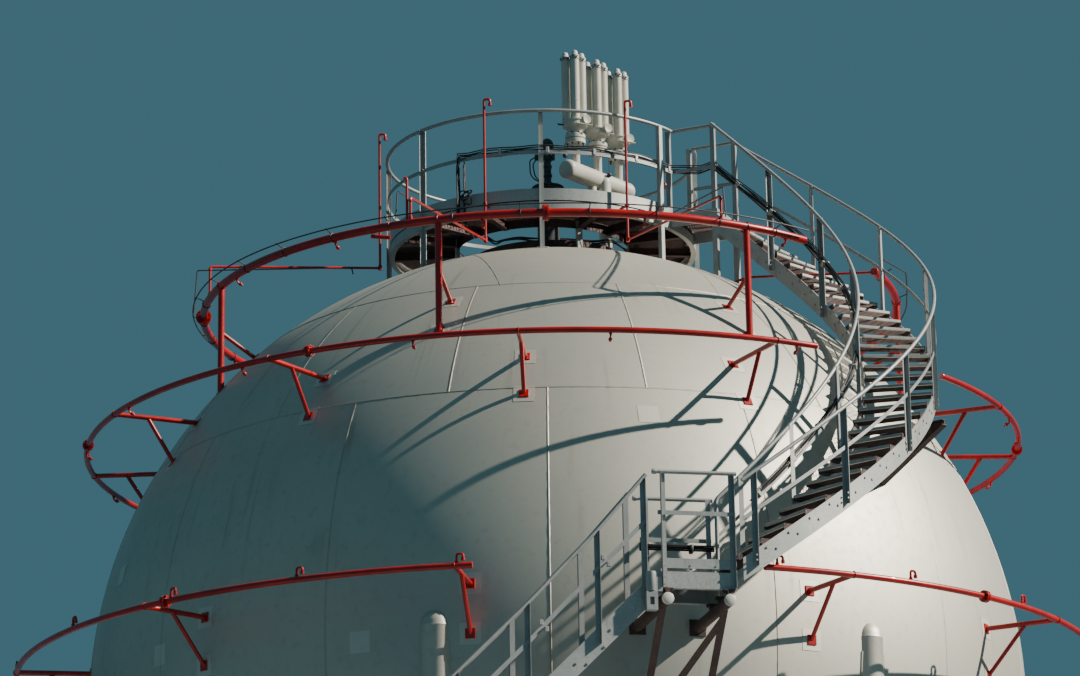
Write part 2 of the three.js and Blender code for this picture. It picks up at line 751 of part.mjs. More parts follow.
// Straight flights down to the ground, with a halfway landing on posts
const straightRisers = flight.upperRisers + flight.lowerRisers;
const straightRise = (landingHeight + centreAboveGround) / straightRisers;
const straightSlope = straightRise / flight.going;
const flightOuter = -landing.outer + 10;
const flightInner = flightOuter + flight.width;

function straightFlight(rightEnd, topHeight, risers, lowest) {
  const left = rightEnd - flight.going * risers;
  const line = (x, offset) => topHeight + straightSlope * (x - rightEnd) + offset;
  const { above, below } = flightStringer;
  const footX = Math.max(left, rightEnd + (lowest - topHeight + below) / straightSlope);
  const side = new THREE.Shape();
  side.moveTo(rightEnd, line(rightEnd, above));
  side.lineTo(left, Math.max(lowest, line(left, above)));
  side.lineTo(left, Math.max(lowest, line(left, -below)));
  if (footX > left) side.lineTo(footX, lowest);
  side.lineTo(rightEnd, line(rightEnd, -below));
  const plate = (y) => {
    const geometry = new THREE.ExtrudeGeometry(side, { depth: stringerThickness, bevelEnabled: false });
    return geometry.rotateX(Math.PI / 2).translate(0, y + stringerThickness, 0);
  };
  const parts = [plate(flightOuter), plate(flightInner - stringerThickness)];
  for (let i = 1; i < risers; i++) {
    const x = rightEnd - flight.going * (i - 0.5) - 20;
    const z = topHeight - straightRise * i;
    parts.push(box(x - 120, x + 120, flightOuter + 5, flightInner - 5, z - 35, z));
  }
  return fuse(parts);
}

// One rail of a straight flight: its top tube and flat bar follow the given heights, on posts
function straightRail(rightEnd, topHeight, risers, y, side, heights) {
  const postY = side < 0 ? y - 60 - seatGap : y + seatGap;
  const middle = postY + 30;
  const length = flight.going * risers - 200;
  const offsets = [...heights.offsets, length];
  const treadLine = (offset) => topHeight - straightSlope * offset;
  const lift = (list, offset) => {
    const next = offsets.findIndex((value) => value >= offset);
    const last = list.length - 1;
    if (next <= 0) return list[0];
    const share = (offset - offsets[next - 1]) / (offsets[next] - offsets[next - 1]);
    return THREE.MathUtils.lerp(list[Math.min(next - 1, last)], list[Math.min(next, last)], share);
  };
  const flatBar = offsets.map((offset) => {
    const z = treadLine(offset) + lift(heights.flat, offset);
    const x = rightEnd - offset;
    return [
      [x, middle - 4, z - 35],
      [x, middle - 4, z + 35],
      [x, middle + 4, z + 35],
      [x, middle + 4, z - 35],
    ];
  });
  const parts = [loft(flatBar)];
  for (let i = 0; i + 1 < offsets.length; i++) {
    const ends = [offsets[i] - (i > 0 ? 6 : 0), offsets[i + 1]].map((offset) => {
      return [rightEnd - offset, middle, treadLine(offset) + lift(heights.top, offset)];
    });
    parts.push(rod(...ends, railTube, 6));
  }
  for (const offset of flightPosts) {
    const x = rightEnd - offset;
    const high = treadLine(offset) + lift(heights.top, offset);
    parts.push(box(x - 30, x + 30, postY, postY + 60, treadLine(offset) - 150, high));
  }
  return fuse(parts);
}

const groundLevel = -centreAboveGround;
const halfHeight = landingHeight - straightRise * flight.upperRisers;
const upperRight = landing.left - seatGap;
const upperLeft = upperRight - flight.going * flight.upperRisers;
const lowerRight = upperLeft - flight.halfwayLength;
const halfwayRight = upperLeft - seatGap;
const halfwayLeft = lowerRight + seatGap;
for (const [name, right, top, risers, heights] of [
  ["upper_flight", upperRight, landingHeight, flight.upperRisers, upperRail],
  ["lower_flight", lowerRight, halfHeight, flight.lowerRisers, lowerRail],
]) {
  const outerRail = straightRail(right, top, risers, flightOuter, -1, heights);
  const innerRail = straightRail(right, top, risers, flightInner, 1, heights);
  node(name, onLanding(straightFlight(right, top, risers, groundLevel)), galvanised);
  node(name + "_outer_rail", onLanding(outerRail), galvanised);
  node(name + "_inner_rail", onLanding(innerRail), galvanised);
}

// Halfway landing: a deck frame on four posts with foot plates, tied low and high
const { inset, half: postHalf, plate: plateHalf } = halfwayLegs;
const postXs = [halfwayLeft + inset, halfwayRight - inset];
const postYs = [flightOuter + inset, flightInner - inset];
const lowTie = groundLevel + halfwayLegs.lowTie;
const highTie = halfHeight - halfwayLegs.highTie;
const halfwayParts = [
  box(halfwayLeft, halfwayRight, flightOuter, flightInner, halfHeight - 200, halfHeight),
];
const squareColumn = (x, y, half, z0, z1) => box(x - half, x + half, y - half, y + half, z0, z1);
for (const x of postXs) {
  for (const y of postYs) {
    halfwayParts.push(squareColumn(x, y, postHalf, groundLevel + 20, halfHeight - 100));
    halfwayParts.push(squareColumn(x, y, plateHalf, groundLevel, groundLevel + 25));
  }
  halfwayParts.push(
    box(x - 30, x + 30, ...postYs, lowTie - 60, lowTie),
    box(x - 30, x + 30, ...postYs, highTie - 60, highTie),
  );
}
for (const y of postYs) {
  halfwayParts.push(
    rod([postXs[0], y, lowTie], [postXs[1], y, highTie], 30, 4),
    box(...postXs, y - 30, y + 30, lowTie - 60, lowTie),
  );
}
node("halfway_landing", onLanding(fuse(halfwayParts)), galvanised);

const halfwayTop = halfHeight + halfwayRailHeight;
const halfwayY = flightOuter - 30 - seatGap;
const halfwayRail = [
  rod([halfwayLeft, halfwayY, halfwayTop], [halfwayRight, halfwayY, halfwayTop], railTube, 6),
  box(halfwayLeft, halfwayRight, halfwayY - 4, halfwayY + 4, halfHeight + 540, halfHeight + 590),
];
for (const x of [halfwayLeft + 40, halfwayRight - 40]) {
  halfwayRail.push(box(x - 30, x + 30, halfwayY - 30, halfwayY + 30, halfHeight - 190, halfwayTop));
}
node("halfway_handrail", onLanding(fuse(halfwayRail)), galvanised);

// Stand the tank on the ground, with the origin under the middle of the whole plan
const extent = new THREE.Box3().setFromObject(tank);
const planCentre = extent.getCenter(new THREE.Vector3());
tank.position.set(-planCentre.x, -planCentre.y, centreAboveGround);

export default tank;
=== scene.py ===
# A spherical gas tank on seven legs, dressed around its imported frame. Metres, Z up.
import json
import math

import bpy
from mathutils import Matrix, Vector

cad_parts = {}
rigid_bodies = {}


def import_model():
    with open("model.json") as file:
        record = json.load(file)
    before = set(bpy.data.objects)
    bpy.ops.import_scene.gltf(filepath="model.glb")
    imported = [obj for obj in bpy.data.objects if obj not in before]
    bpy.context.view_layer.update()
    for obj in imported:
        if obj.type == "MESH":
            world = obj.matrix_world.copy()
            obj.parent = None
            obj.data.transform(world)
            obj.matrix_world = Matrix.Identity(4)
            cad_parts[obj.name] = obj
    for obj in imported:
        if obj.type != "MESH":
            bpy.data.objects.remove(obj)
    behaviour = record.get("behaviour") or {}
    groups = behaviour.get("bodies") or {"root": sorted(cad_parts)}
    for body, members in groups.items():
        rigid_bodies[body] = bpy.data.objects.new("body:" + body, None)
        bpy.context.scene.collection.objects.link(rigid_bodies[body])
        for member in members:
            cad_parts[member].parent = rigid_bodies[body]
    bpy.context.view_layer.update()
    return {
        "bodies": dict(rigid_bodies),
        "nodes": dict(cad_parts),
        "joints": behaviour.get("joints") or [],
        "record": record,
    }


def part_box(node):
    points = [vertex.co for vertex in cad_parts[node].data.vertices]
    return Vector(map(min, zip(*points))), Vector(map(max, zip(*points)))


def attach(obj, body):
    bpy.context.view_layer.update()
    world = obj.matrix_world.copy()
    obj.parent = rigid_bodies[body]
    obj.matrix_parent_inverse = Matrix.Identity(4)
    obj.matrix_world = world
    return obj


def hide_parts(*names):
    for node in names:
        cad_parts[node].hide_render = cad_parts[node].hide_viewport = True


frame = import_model()
bpy.ops.object.select_all(action="DESELECT")
beltLow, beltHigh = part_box("equator_belt")
sphereCentre = (beltLow + beltHigh) / 2
print("frame loaded, sphere centre at", [round(v, 3) for v in sphereCentre])

# Everything below is measured from the sphere's centre. Azimuth 0 faces -Y and grows towards +X.
groundLevel = -sphereCentre.z
upward = Vector((0, 0, 1))

# Sizes that several pieces share
mergeDistance = 0.00002
seatGap = 0.0003  # between a post and the stringer that carries it
angles = {
    "rail": (0.06, 0.006), "post": (0.062, 0.006), "leg": (0.07, 0.008), "brace": (0.086, 0.009),
}
railing = {"tube": 0.024, "flatHalf": 0.025, "flatThick": 0.008, "standOff": 0.03}
grid = {
    "thick": 0.004, "deep": 0.03, "pitch": 0.034, "rod": 0.004, "rodPitch": 0.11, "rodDrop": 0.006,
}


def only(*things):
    bpy.ops.object.select_all(action="DESELECT")
    for thing in things:
        thing.select_set(True)
    bpy.context.view_layer.objects.active = things[-1]


def editing(thing, *steps):
    only(thing)
    bpy.ops.object.mode_set(mode="EDIT")
    bpy.ops.mesh.select_all(action="SELECT")
    for step in steps:
        step()
    bpy.ops.object.mode_set(mode="OBJECT")
    return thing


def allOf():
    bpy.ops.mesh.select_all(action="SELECT")


def cleanUp():
    allOf()
    bpy.ops.mesh.remove_doubles(threshold=mergeDistance)
    bpy.ops.mesh.normals_make_consistent(inside=False)


def fromPoints(points, edges=(), faces=()):
    mesh = bpy.data.meshes.new("shape")
    mesh.from_pydata(
        [tuple(p) for p in points], [tuple(e) for e in edges], [tuple(f) for f in faces]
    )
    thing = bpy.data.objects.new("shape", mesh)
    bpy.context.scene.collection.objects.link(thing)
    return thing


def block(x0, x1, y0, y1, z0, z1, edge=0.002):
    middle = ((x0 + x1) / 2, (y0 + y1) / 2, (z0 + z1) / 2)
    bpy.ops.mesh.primitive_cube_add(size=1, location=middle, scale=(x1 - x0, y1 - y0, z1 - z0))
    thing = bpy.context.object
    bpy.ops.object.transform_apply(location=True, rotation=True, scale=True)
    if edge:
        editing(thing, lambda: bpy.ops.mesh.bevel(offset=edge, segments=1, affect="EDGES"))
    return thing


def spun(outline, steps=32):
    edges = [(i, i + 1) for i in range(len(outline) - 1)]
    thing = fromPoints([(r, 0, z) for r, z in outline], edges)

    def turnRound():
        bpy.ops.mesh.spin(steps=steps, angle=2 * math.pi, center=(0, 0, 0), axis=(0, 0, 1))

    return editing(thing, turnRound, cleanUp)


def prism(outline, z0, z1):
    thing = fromPoints([(x, y, z0) for x, y in outline], (), [range(len(outline))])

    def pullUp():
        bpy.ops.mesh.extrude_region_move(TRANSFORM_OT_translate={"value": (0, 0, z1 - z0)})

    return editing(thing, pullUp, cleanUp)


def curveOf(lines, closed=False):
    curve = bpy.data.curves.new("line", "CURVE")
    curve.dimensions = "3D"
    for line in lines:
        spline = curve.splines.new("POLY")
        spline.points.add(len(line) - 1)
        for point, place in zip(spline.points, line):
            point.co = (*place, 1)
        spline.use_cyclic_u = closed
    thing = bpy.data.objects.new("line", curve)
    bpy.context.scene.collection.objects.link(thing)
    return thing


def tubes(lines, radius, fineness=4, closed=False):
    # round bars or pipes along rows of points: 4 + 2 x fineness sides
    thing = curveOf(lines, closed)
    thing.data.bevel_depth = radius
    thing.data.bevel_resolution = fineness
    thing.data.use_fill_caps = True
    only(thing)
    bpy.ops.object.convert(target="MESH")
    return bpy.context.object


def swept(lines, outline, closed=False):
    # a section kept upright along rows of points: outline x is to the right of travel, y is up
    section = curveOf([[(x, y, 0) for x, y in outline]], closed=True)
    section.data.dimensions = "2D"
    thing = curveOf(lines, closed)
    thing.data.twist_mode = "Z_UP"
    thing.data.bevel_mode = "OBJECT"
    thing.data.bevel_object = section
    thing.data.use_fill_caps = True
    only(thing)
    bpy.ops.object.convert(target="MESH")
    made = bpy.context.object
    bpy.data.objects.remove(section)
    return editing(made, cleanUp)


def fence(lines, low, high, thick):
    # an upright strip along rows of points, with upright ends
    points, edges = [], []
    for line in lines:
        start = len(points)
        points += [(p[0], p[1], p[2] + low) for p in line]
        edges += [(start + i, start + i + 1) for i in range(len(line) - 1)]
    thing = fromPoints(points, edges)

    def pullUp():
        bpy.ops.mesh.extrude_region_move(TRANSFORM_OT_translate={"value": (0, 0, high - low)})

    editing(thing, pullUp)
    wall = thing.modifiers.new("wall", "SOLIDIFY")
    wall.thickness = thick
    wall.offset = 0
    only(thing)
    bpy.ops.object.modifier_apply(modifier="wall")
    return editing(thing, cleanUp)


def bolts(places, radius=0.012, height=0.012):
    # hexagon heads: each place is a point and the direction its head stands out in
    lines = [[Vector(p), Vector(p) + Vector(d).normalized() * height] for p, d in places]
    return tubes(lines, radius, 1)


def placed(thing, matrix):
    thing.data.transform(matrix)
    if matrix.is_negative:
        thing.data.flip_normals()
    return thing


def twins(thing, matrices):
    # one model repeated, each copy with its own mesh
    made = []
    for matrix in matrices:
        twin = bpy.data.objects.new(thing.name, thing.data.copy())
        bpy.context.scene.collection.objects.link(twin)
        made.append(placed(twin, matrix))
    return made


def copied(thing, matrices):
    # as twins, and the model itself goes
    made = twins(thing, matrices)
    bpy.data.objects.remove(thing)
    return made


def joined(*things):
    flat = []
    for thing in things:
        flat += thing if isinstance(thing, list) else [thing]
    only(*flat)
    if len(flat) > 1:
        bpy.ops.object.join()
    return bpy.context.object


def dressed(thing, name, finish, nodes=(), angle=32):
    # a finished piece: in its place in the row's frame, smoothed, painted and riding on the tank
    thing.data.transform(Matrix.Translation(sphereCentre))
    thing.name = name
    thing.data.name = name
    only(thing)
    bpy.ops.object.shade_smooth_by_angle(angle=math.radians(angle))
    thing.data.materials.clear()
    thing.data.materials.append(finish)
    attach(thing, "root")
    if nodes:
        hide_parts(*nodes)
    bpy.ops.object.select_all(action="DESELECT")
    return thing


def turn(azimuth):
    return Matrix.Rotation(math.radians(azimuth), 4, "Z")


def shift(x, y, z):
    return Matrix.Translation((x, y, z))


def around(azimuth, radius, height, centre=(0, 0)):
    a = math.radians(azimuth)
    return Vector((centre[0] + radius * math.sin(a), centre[1] - radius * math.cos(a), height))


def ringFrame(azimuth, radius, height, centre=(0, 0)):
    # -Y points outwards, +X the way azimuth grows
    return Matrix.Translation(around(azimuth, radius, height, centre)) @ turn(azimuth)


def aimed(place, direction):
    facing = Vector(direction).to_track_quat("Z", "Y")
    return Matrix.Translation(place) @ facing.to_matrix().to_4x4()


def arcLine(radius, start, end, height, steps, centre=(0, 0)):
    return [
        around(start + (end - start) * (i / steps), radius, height, centre)
        for i in range(steps + 1)
    ]


def moved(lines, matrix):
    return [[matrix @ Vector(p) for p in line] for line in lines]


def rounded(points, radius, steps=6):
    # a row of points with each inner corner turned into a bend
    points = [Vector(p) for p in points]
    line = [points[0]]
    for before, corner, after in zip(points, points[1:], points[2:]):
        back = (before - corner).normalized()
        on = (after - corner).normalized()
        reach = min(radius, (before - corner).length * 0.45, (after - corner).length * 0.45)
        first = corner + back * reach
        last = corner + on * reach
        for i in range(steps + 1):
            t = i / steps
            line.append(first * (1 - t) ** 2 + corner * (2 * t * (1 - t)) + last * t * t)
    line.append(points[-1])
    return line


def shellHeightAt(radius):
    # how high the shell is at a distance from its axis
    return math.sqrt(shell["radius"] ** 2 - radius**2)


def angleSection(side, thick, hand=1):
    # an L-shaped steel section around its middle; hand -1 puts its corner on the +X side
    h = side / 2
    outline = [(-h, -h), (h, -h), (h, thick - h), (thick - h, thick - h), (thick - h, h), (-h, h)]
    return [(x * hand, y) for x, y in outline]


def bar(width, height, lift=0.0):
    # a flat bar's section, its middle lifted off the line
    x, low, high = width / 2, lift - height / 2, lift + height / 2
    return [(-x, low), (x, low), (x, high), (-x, high)]


def anglePost(kind, low, high, frame, hand=1):
    # an upright steel angle in a frame
    return placed(prism(angleSection(*angles[kind], hand), low, high), frame)


def flatRail(line, half=railing["flatHalf"]):
    return fence([line], -half, half, railing["flatThick"])


def gratingOf(barLines, rodLines):
    # bars on edge with their tops on the lines, and thin rods across them
    bars = swept(barLines, bar(grid["thick"], grid["deep"], -grid["deep"] / 2))
    return joined(bars, tubes(rodLines, grid["rod"], 0))


def boltCircle(place, radius, count, lift, size=0.012):
    # heads standing up round a level flange
    made = []
    for k in range(count):
        a = 2 * math.pi * (k + 0.5) / count
        made.append(
            (Vector(place) + Vector((radius * math.cos(a), radius * math.sin(a), lift)), upward)
        )
    return bolts(made, size, size * 1.1)


def pad(half, low, high, edge):
    return block(-half, half, -half, half, low, high, edge)


class Finish:
    # a painted or bare metal surface, built from a few noise layers on object coordinates
    def __init__(self, name, roughness, metallic=0.0, coat=0.0):
        self.material = bpy.data.materials.new(name)
        self.material.use_nodes = True
        self.tree = self.material.node_tree
        self.shader = self.tree.nodes["Principled BSDF"]
        self.shader.inputs["Roughness"].default_value = roughness
        self.shader.inputs["Metallic"].default_value = metallic
        self.shader.inputs["Coat Weight"].default_value = coat
        self.where = self.tree.nodes.new("ShaderNodeTexCoord").outputs["Object"]

    def add(self, kind, **settings):
        node = self.tree.nodes.new(kind)
        for key, value in settings.items():
            setattr(node, key, value)
        return node

    def link(self, source, socket):
        if hasattr(source, "is_output"):
            self.tree.links.new(source, socket)
        else:
            socket.default_value = source

    def math(self, operation, a, b):
        node = self.add("ShaderNodeMath", operation=operation)
        self.link(a, node.inputs[0])
        self.link(b, node.inputs[1])
        return node.outputs[0]

    def centred(self):
        # place measured from the sphere's centre
        node = self.add("ShaderNodeMapping")
        self.link(self.where, node.inputs["Vector"])
        node.inputs["Location"].default_value = [-v for v in sphereCentre]
        return node.outputs["Vector"]

    def noise(self, scale, detail=4.0, stretch=(1, 1, 1), place=None):
        mapping = self.add("ShaderNodeMapping")
        self.link(place or self.where, mapping.inputs["Vector"])
        mapping.inputs["Scale"].default_value = stretch
        node = self.add("ShaderNodeTexNoise")
        self.link(mapping.outputs["Vector"], node.inputs["Vector"])
        node.inputs["Scale"].default_value = scale
        node.inputs["Detail"].default_value = detail
        return node.outputs["Fac"]

    def streaks(self, across, along):
        # drip marks: noise that is fine round the sphere's axis and long down its height
        split = self.add("ShaderNodeSeparateXYZ")
        self.link(self.centred(), split.inputs[0])
        azimuth = self.math("ARCTAN2", split.outputs["X"], split.outputs["Y"])
        join = self.add("ShaderNodeCombineXYZ")
        self.link(self.math("MULTIPLY", azimuth, across), join.inputs["X"])
        self.link(self.math("MULTIPLY", split.outputs["Z"], along), join.inputs["Y"])
        return self.noise(1.0, 5.0, place=join.outputs[0])

    def band(self, value, low, high):
        # 0 below the low value, 1 above the high one
        node = self.add("ShaderNodeMapRange", interpolation_type="SMOOTHSTEP")
        self.link(value, node.inputs["Value"])
        node.inputs["From Min"].default_value = low
        node.inputs["From Max"].default_value = high
        return node.outputs["Result"]

    def cells(self, scale):
        node = self.add("ShaderNodeTexVoronoi")
        self.link(self.where, node.inputs["Vector"])
        node.inputs["Scale"].default_value = scale
        split = self.add("ShaderNodeSeparateXYZ")
        self.link(node.outputs["Color"], split.inputs[0])
        return split.outputs["X"]

    def mix(self, share, first, second):
        node = self.add("ShaderNodeMix", data_type="RGBA")
        self.link(share, node.inputs["Factor"])
        self.link((*first, 1) if isinstance(first, tuple) else first, node.inputs["A"])
        self.link((*second, 1) if isinstance(second, tuple) else second, node.inputs["B"])
        return node.outputs["Result"]

    def colour(self, source):
        self.link(source, self.shader.inputs["Base Color"])

    def roughness(self, share, low, high):
        node = self.add("ShaderNodeMapRange")
        self.link(share, node.inputs["Value"])
        node.inputs["To Min"].default_value = low
        node.inputs["To Max"].default_value = high
        self.link(node.outputs["Result"], self.shader.inputs["Roughness"])

    def bump(self, source, strength, distance):
        node = self.add("ShaderNodeBump")
        node.inputs["Strength"].default_value = strength
        node.inputs["Distance"].default_value = distance
        self.link(source, node.inputs["Height"])
        self.link(node.outputs["Normal"], self.shader.inputs["Normal"])


def silverPaint(name, light, shade, stain, streakShare):
    # aluminium paint: broad clouds, speckle and drip marks
    f = Finish(name, roughness=0.42, metallic=0.7)
    broad = f.noise(0.45, 3.0)
    speckle = f.noise(9.0, 6.0)
    base = f.mix(f.band(broad, 0.35, 0.7), light, shade)
    mottled = f.mix(f.math("MULTIPLY", f.band(speckle, 0.5, 0.85), 0.35), base, stain)
    drips = f.band(f.streaks(across=34, along=0.35), 0.56, 0.72)
    drips = f.math("MULTIPLY", drips, f.band(f.noise(0.7, 2.0), 0.42, 0.62))
    f.colour(f.mix(f.math("MULTIPLY", drips, streakShare), mottled, stain))
    f.roughness(speckle, 0.5, 0.6)
    f.bump(f.noise(55.0, 3.0), 0.12, 0.004)
    return f.material


def glossPaint(name, light, dark, grime, roughness):
    # gloss paint with small chips
    f = Finish(name, roughness, coat=0.25)
    base = f.mix(f.band(f.noise(2.5, 4.0), 0.35, 0.68), light, dark)
    chips = f.band(f.noise(38.0, 6.0), 0.68, 0.74)
    f.colour(f.mix(f.math("MULTIPLY", chips, 0.3), base, grime))
    f.roughness(f.noise(14.0, 5.0), roughness - 0.06, roughness + 0.12)
    f.bump(f.noise(60.0, 2.0), 0.04, 0.001)
    return f.material


def zincSteel(name, light, dark, rust, rustShare, roughness=0.5):
    # galvanised steel: spangle, dull patches and rust stains
    f = Finish(name, roughness, metallic=0.45)
    spangle = f.mix(f.cells(70.0), light, dark)
    weathered = f.mix(f.band(f.noise(3.2, 5.0), 0.4, 0.7), spangle, dark)
    stains = f.band(f.noise(11.0, 7.0, (1, 1, 0.35)), 0.58, 0.7)
    f.colour(f.mix(f.math("MULTIPLY", stains, rustShare), weathered, rust))
    f.roughness(f.noise(20.0, 4.0), roughness - 0.12, roughness + 0.18)
    f.bump(f.noise(80.0, 2.0), 0.07, 0.001)
    return f.material


def darkSheath(name, base, worn, roughness, grain):
    # rubber sheath or painted casting with worn places
    f = Finish(name, roughness)
    f.colour(f.mix(f.band(f.noise(18.0, 5.0), 0.45, 0.75), base, worn))
    f.roughness(f.noise(30.0, 3.0), roughness - 0.1, roughness + 0.15)
    f.bump(f.noise(grain, 3.0), 0.3, 0.002)
    return f.material


shellPaint = silverPaint(
    "shell silver",
    light=(0.60, 0.57, 0.49), shade=(0.54, 0.52, 0.455), stain=(0.36, 0.32, 0.25),
    streakShare=0.5,
)
legPaint = silverPaint(
    "leg silver",
    light=(0.62, 0.59, 0.51), shade=(0.55, 0.53, 0.46), stain=(0.34, 0.28, 0.2),
    streakShare=0.35,
)
patchPaint = silverPaint(
    "touch-up silver",
    light=(0.70, 0.67, 0.58), shade=(0.66, 0.64, 0.56), stain=(0.5, 0.46, 0.38),
    streakShare=0.25,
)
beadPaint = silverPaint(
    "weld bead silver",
    light=(0.52, 0.49, 0.42), shade=(0.42, 0.38, 0.32), stain=(0.2, 0.15, 0.11),
    streakShare=0.8,
)
signalRed = glossPaint(
    "signal red",
    light=(0.50, 0.004, 0.003), dark=(0.34, 0.003, 0.002), grime=(0.09, 0.008, 0.006),
    roughness=0.3,
)
ventCream = glossPaint(
    "vent cream",
    light=(0.66, 0.63, 0.54), dark=(0.58, 0.55, 0.47), grime=(0.22, 0.19, 0.15),
    roughness=0.38,
)
zincLight = zincSteel(
    "galvanised steel",
    light=(0.50, 0.50, 0.47), dark=(0.40, 0.41, 0.395), rust=(0.22, 0.13, 0.08),
    rustShare=0.28,
)
zincRail = zincSteel(
    "galvanised rail",
    light=(0.42, 0.425, 0.41), dark=(0.345, 0.35, 0.345), rust=(0.2, 0.11, 0.07),
    rustShare=0.22,
)
# Dark brown steel for the gratings, deck beams, landing brackets, saddles, stair gusset and crown
# curb: partly real oxide, partly painted shade. Its dark maroon stands in for the shade under the
# deck, the landing and the stairs.
oxideAndShadeSteel = zincSteel(
    "dark oxide and painted shade",
    light=(0.13, 0.085, 0.08), dark=(0.08, 0.05, 0.046), rust=(0.12, 0.035, 0.025),
    rustShare=0.6, roughness=0.6,
)
boltSteel = zincSteel(
    "bolt steel",
    light=(0.10, 0.09, 0.09), dark=(0.06, 0.05, 0.05), rust=(0.16, 0.07, 0.04),
    rustShare=0.5, roughness=0.45,
)
cableSheath = darkSheath(
    "cable sheath",
    base=(0.012, 0.013, 0.016), worn=(0.04, 0.04, 0.045),
    roughness=0.5, grain=200.0,
)
gaugeCasting = darkSheath(
    "gauge casting",
    base=(0.035, 0.037, 0.042), worn=(0.09, 0.09, 0.09),
    roughness=0.45, grain=140.0,
)
print("finishes mixed")


# The shell: five courses of plates, with raised weld beads along their seams
shell = {
    "radius": 6.19,
    "wall": 0.06,
    "crownSeam": 0.768 * 6.19,
    "beltSeam": 0.481 * 6.19,
    "around": 168,
    "down": 84,
    "petals": 14,
    "firstLeg": -13.4,
    "beadRadius": 0.019,
    "beadSink": 0.014,
    "seamGap": 0.0005,
    "strip": 1.42,
    "stripTurn": 12,
}


def shellCourse(lowZ, highZ):
    bpy.ops.mesh.primitive_uv_sphere_add(
        segments=shell["around"], ring_count=shell["down"], radius=shell["radius"]
    )
    ball = bpy.context.object

    def cutBelow():
        bpy.ops.mesh.bisect(plane_co=(0, 0, lowZ), plane_no=(0, 0, 1), clear_inner=True)

    def cutAbove():
        allOf()
        bpy.ops.mesh.bisect(plane_co=(0, 0, highZ), plane_no=(0, 0, 1), clear_outer=True)

    steps = []
    if lowZ > -shell["radius"]:
        steps.append(cutBelow)
    if highZ < shell["radius"]:
        steps.append(cutAbove)
    editing(ball, *steps)
    wall = ball.modifiers.new("wall", "SOLIDIFY")
    wall.thickness = shell["wall"]
    wall.offset = -1
    only(ball)
    bpy.ops.object.modifier_apply(modifier="wall")
    return ball


seam = shell["seamGap"]
courses = {
    "top_crown": (shell["crownSeam"] + seam, shell["radius"]),
    "upper_zone": (shell["beltSeam"] + seam, shell["crownSeam"] - seam),
    "equator_belt": (-shell["beltSeam"] + seam, shell["beltSeam"] - seam),
    "lower_zone": (-shell["crownSeam"] + seam, -shell["beltSeam"] - seam),
    "bottom_crown": (-shell["radius"], -shell["crownSeam"] - seam),
}
for courseName, (lowZ, highZ) in courses.items():
    dressed(
        shellCourse(lowZ, highZ), "plates_" + courseName,
        shellPaint, [courseName], 50,
    )
print("shell rolled")

beadLine = shell["radius"] - shell["beadSink"]


def meridian(azimuth, lowZ, highZ, steps=14):
    # an upright seam between two heights
    a0, a1 = (math.asin(z / shell["radius"]) for z in (lowZ, highZ))
    line = []
    for i in range(steps + 1):
        a = a0 + (a1 - a0) * i / steps
        line.append(around(azimuth, beadLine * math.cos(a), beadLine * math.sin(a)))
    return line


def stripSeam(offset, sign, steps=24):
    # a straight seam across a crown, in an upright plane
    reach = math.sqrt(shell["radius"] ** 2 - shell["crownSeam"] ** 2)
    half = math.sqrt(reach**2 - offset**2)
    line = []
    for i in range(steps + 1):
        p = Vector((offset, -half + 2 * half * i / steps, 0))
        p.z = sign * math.sqrt(beadLine**2 - p.x**2 - p.y**2)
        line.append(turn(shell["stripTurn"]) @ p)
    return line


petalTurn = 360 / shell["petals"]
beadLines = []
for k in range(shell["petals"]):
    azimuth = shell["firstLeg"] + petalTurn * k
    beadLines.append(meridian(azimuth + petalTurn / 2, -shell["beltSeam"], shell["beltSeam"], 24))
    beadLines.append(meridian(azimuth, shell["beltSeam"], shell["crownSeam"]))
    beadLines.append(meridian(azimuth, -shell["crownSeam"], -shell["beltSeam"]))
for sign in (1, -1):
    for offset in (-shell["strip"], shell["strip"]):
        beadLines.append(stripSeam(offset, sign))
loops = []
for z in (shell["crownSeam"], shell["beltSeam"], -shell["beltSeam"], -shell["crownSeam"]):
    loops.append(arcLine(math.sqrt(beadLine**2 - z * z), 0, 357.5, z, 143))
beads = joined(
    tubes(beadLines, shell["beadRadius"], 2),
    tubes(loops, shell["beadRadius"], 2, closed=True),
)
dressed(beads, "weld_beads", beadPaint, angle=50)

# Legs with domed heads, each welded to the belt and standing on a stiffened foot plate
leg = {
    "count": 7,
    "circle": 6.06,
    "radius": 0.213,
    "top": 0.155,
    "collars": [-1.95, -4.6, -7.2],
    "plate": 0.38,
    "plateThick": 0.04,
    "gusset": 0.26,
    "ribThick": 0.016,
    "weldHalf": 0.014,
    "weldRise": 0.006,
    "headWeld": 0.016,
    "domeSteps": 8,
    "anchorOut": 0.31,
}
legAzimuths = [shell["firstLeg"] + 360 / leg["count"] * i for i in range(leg["count"])]


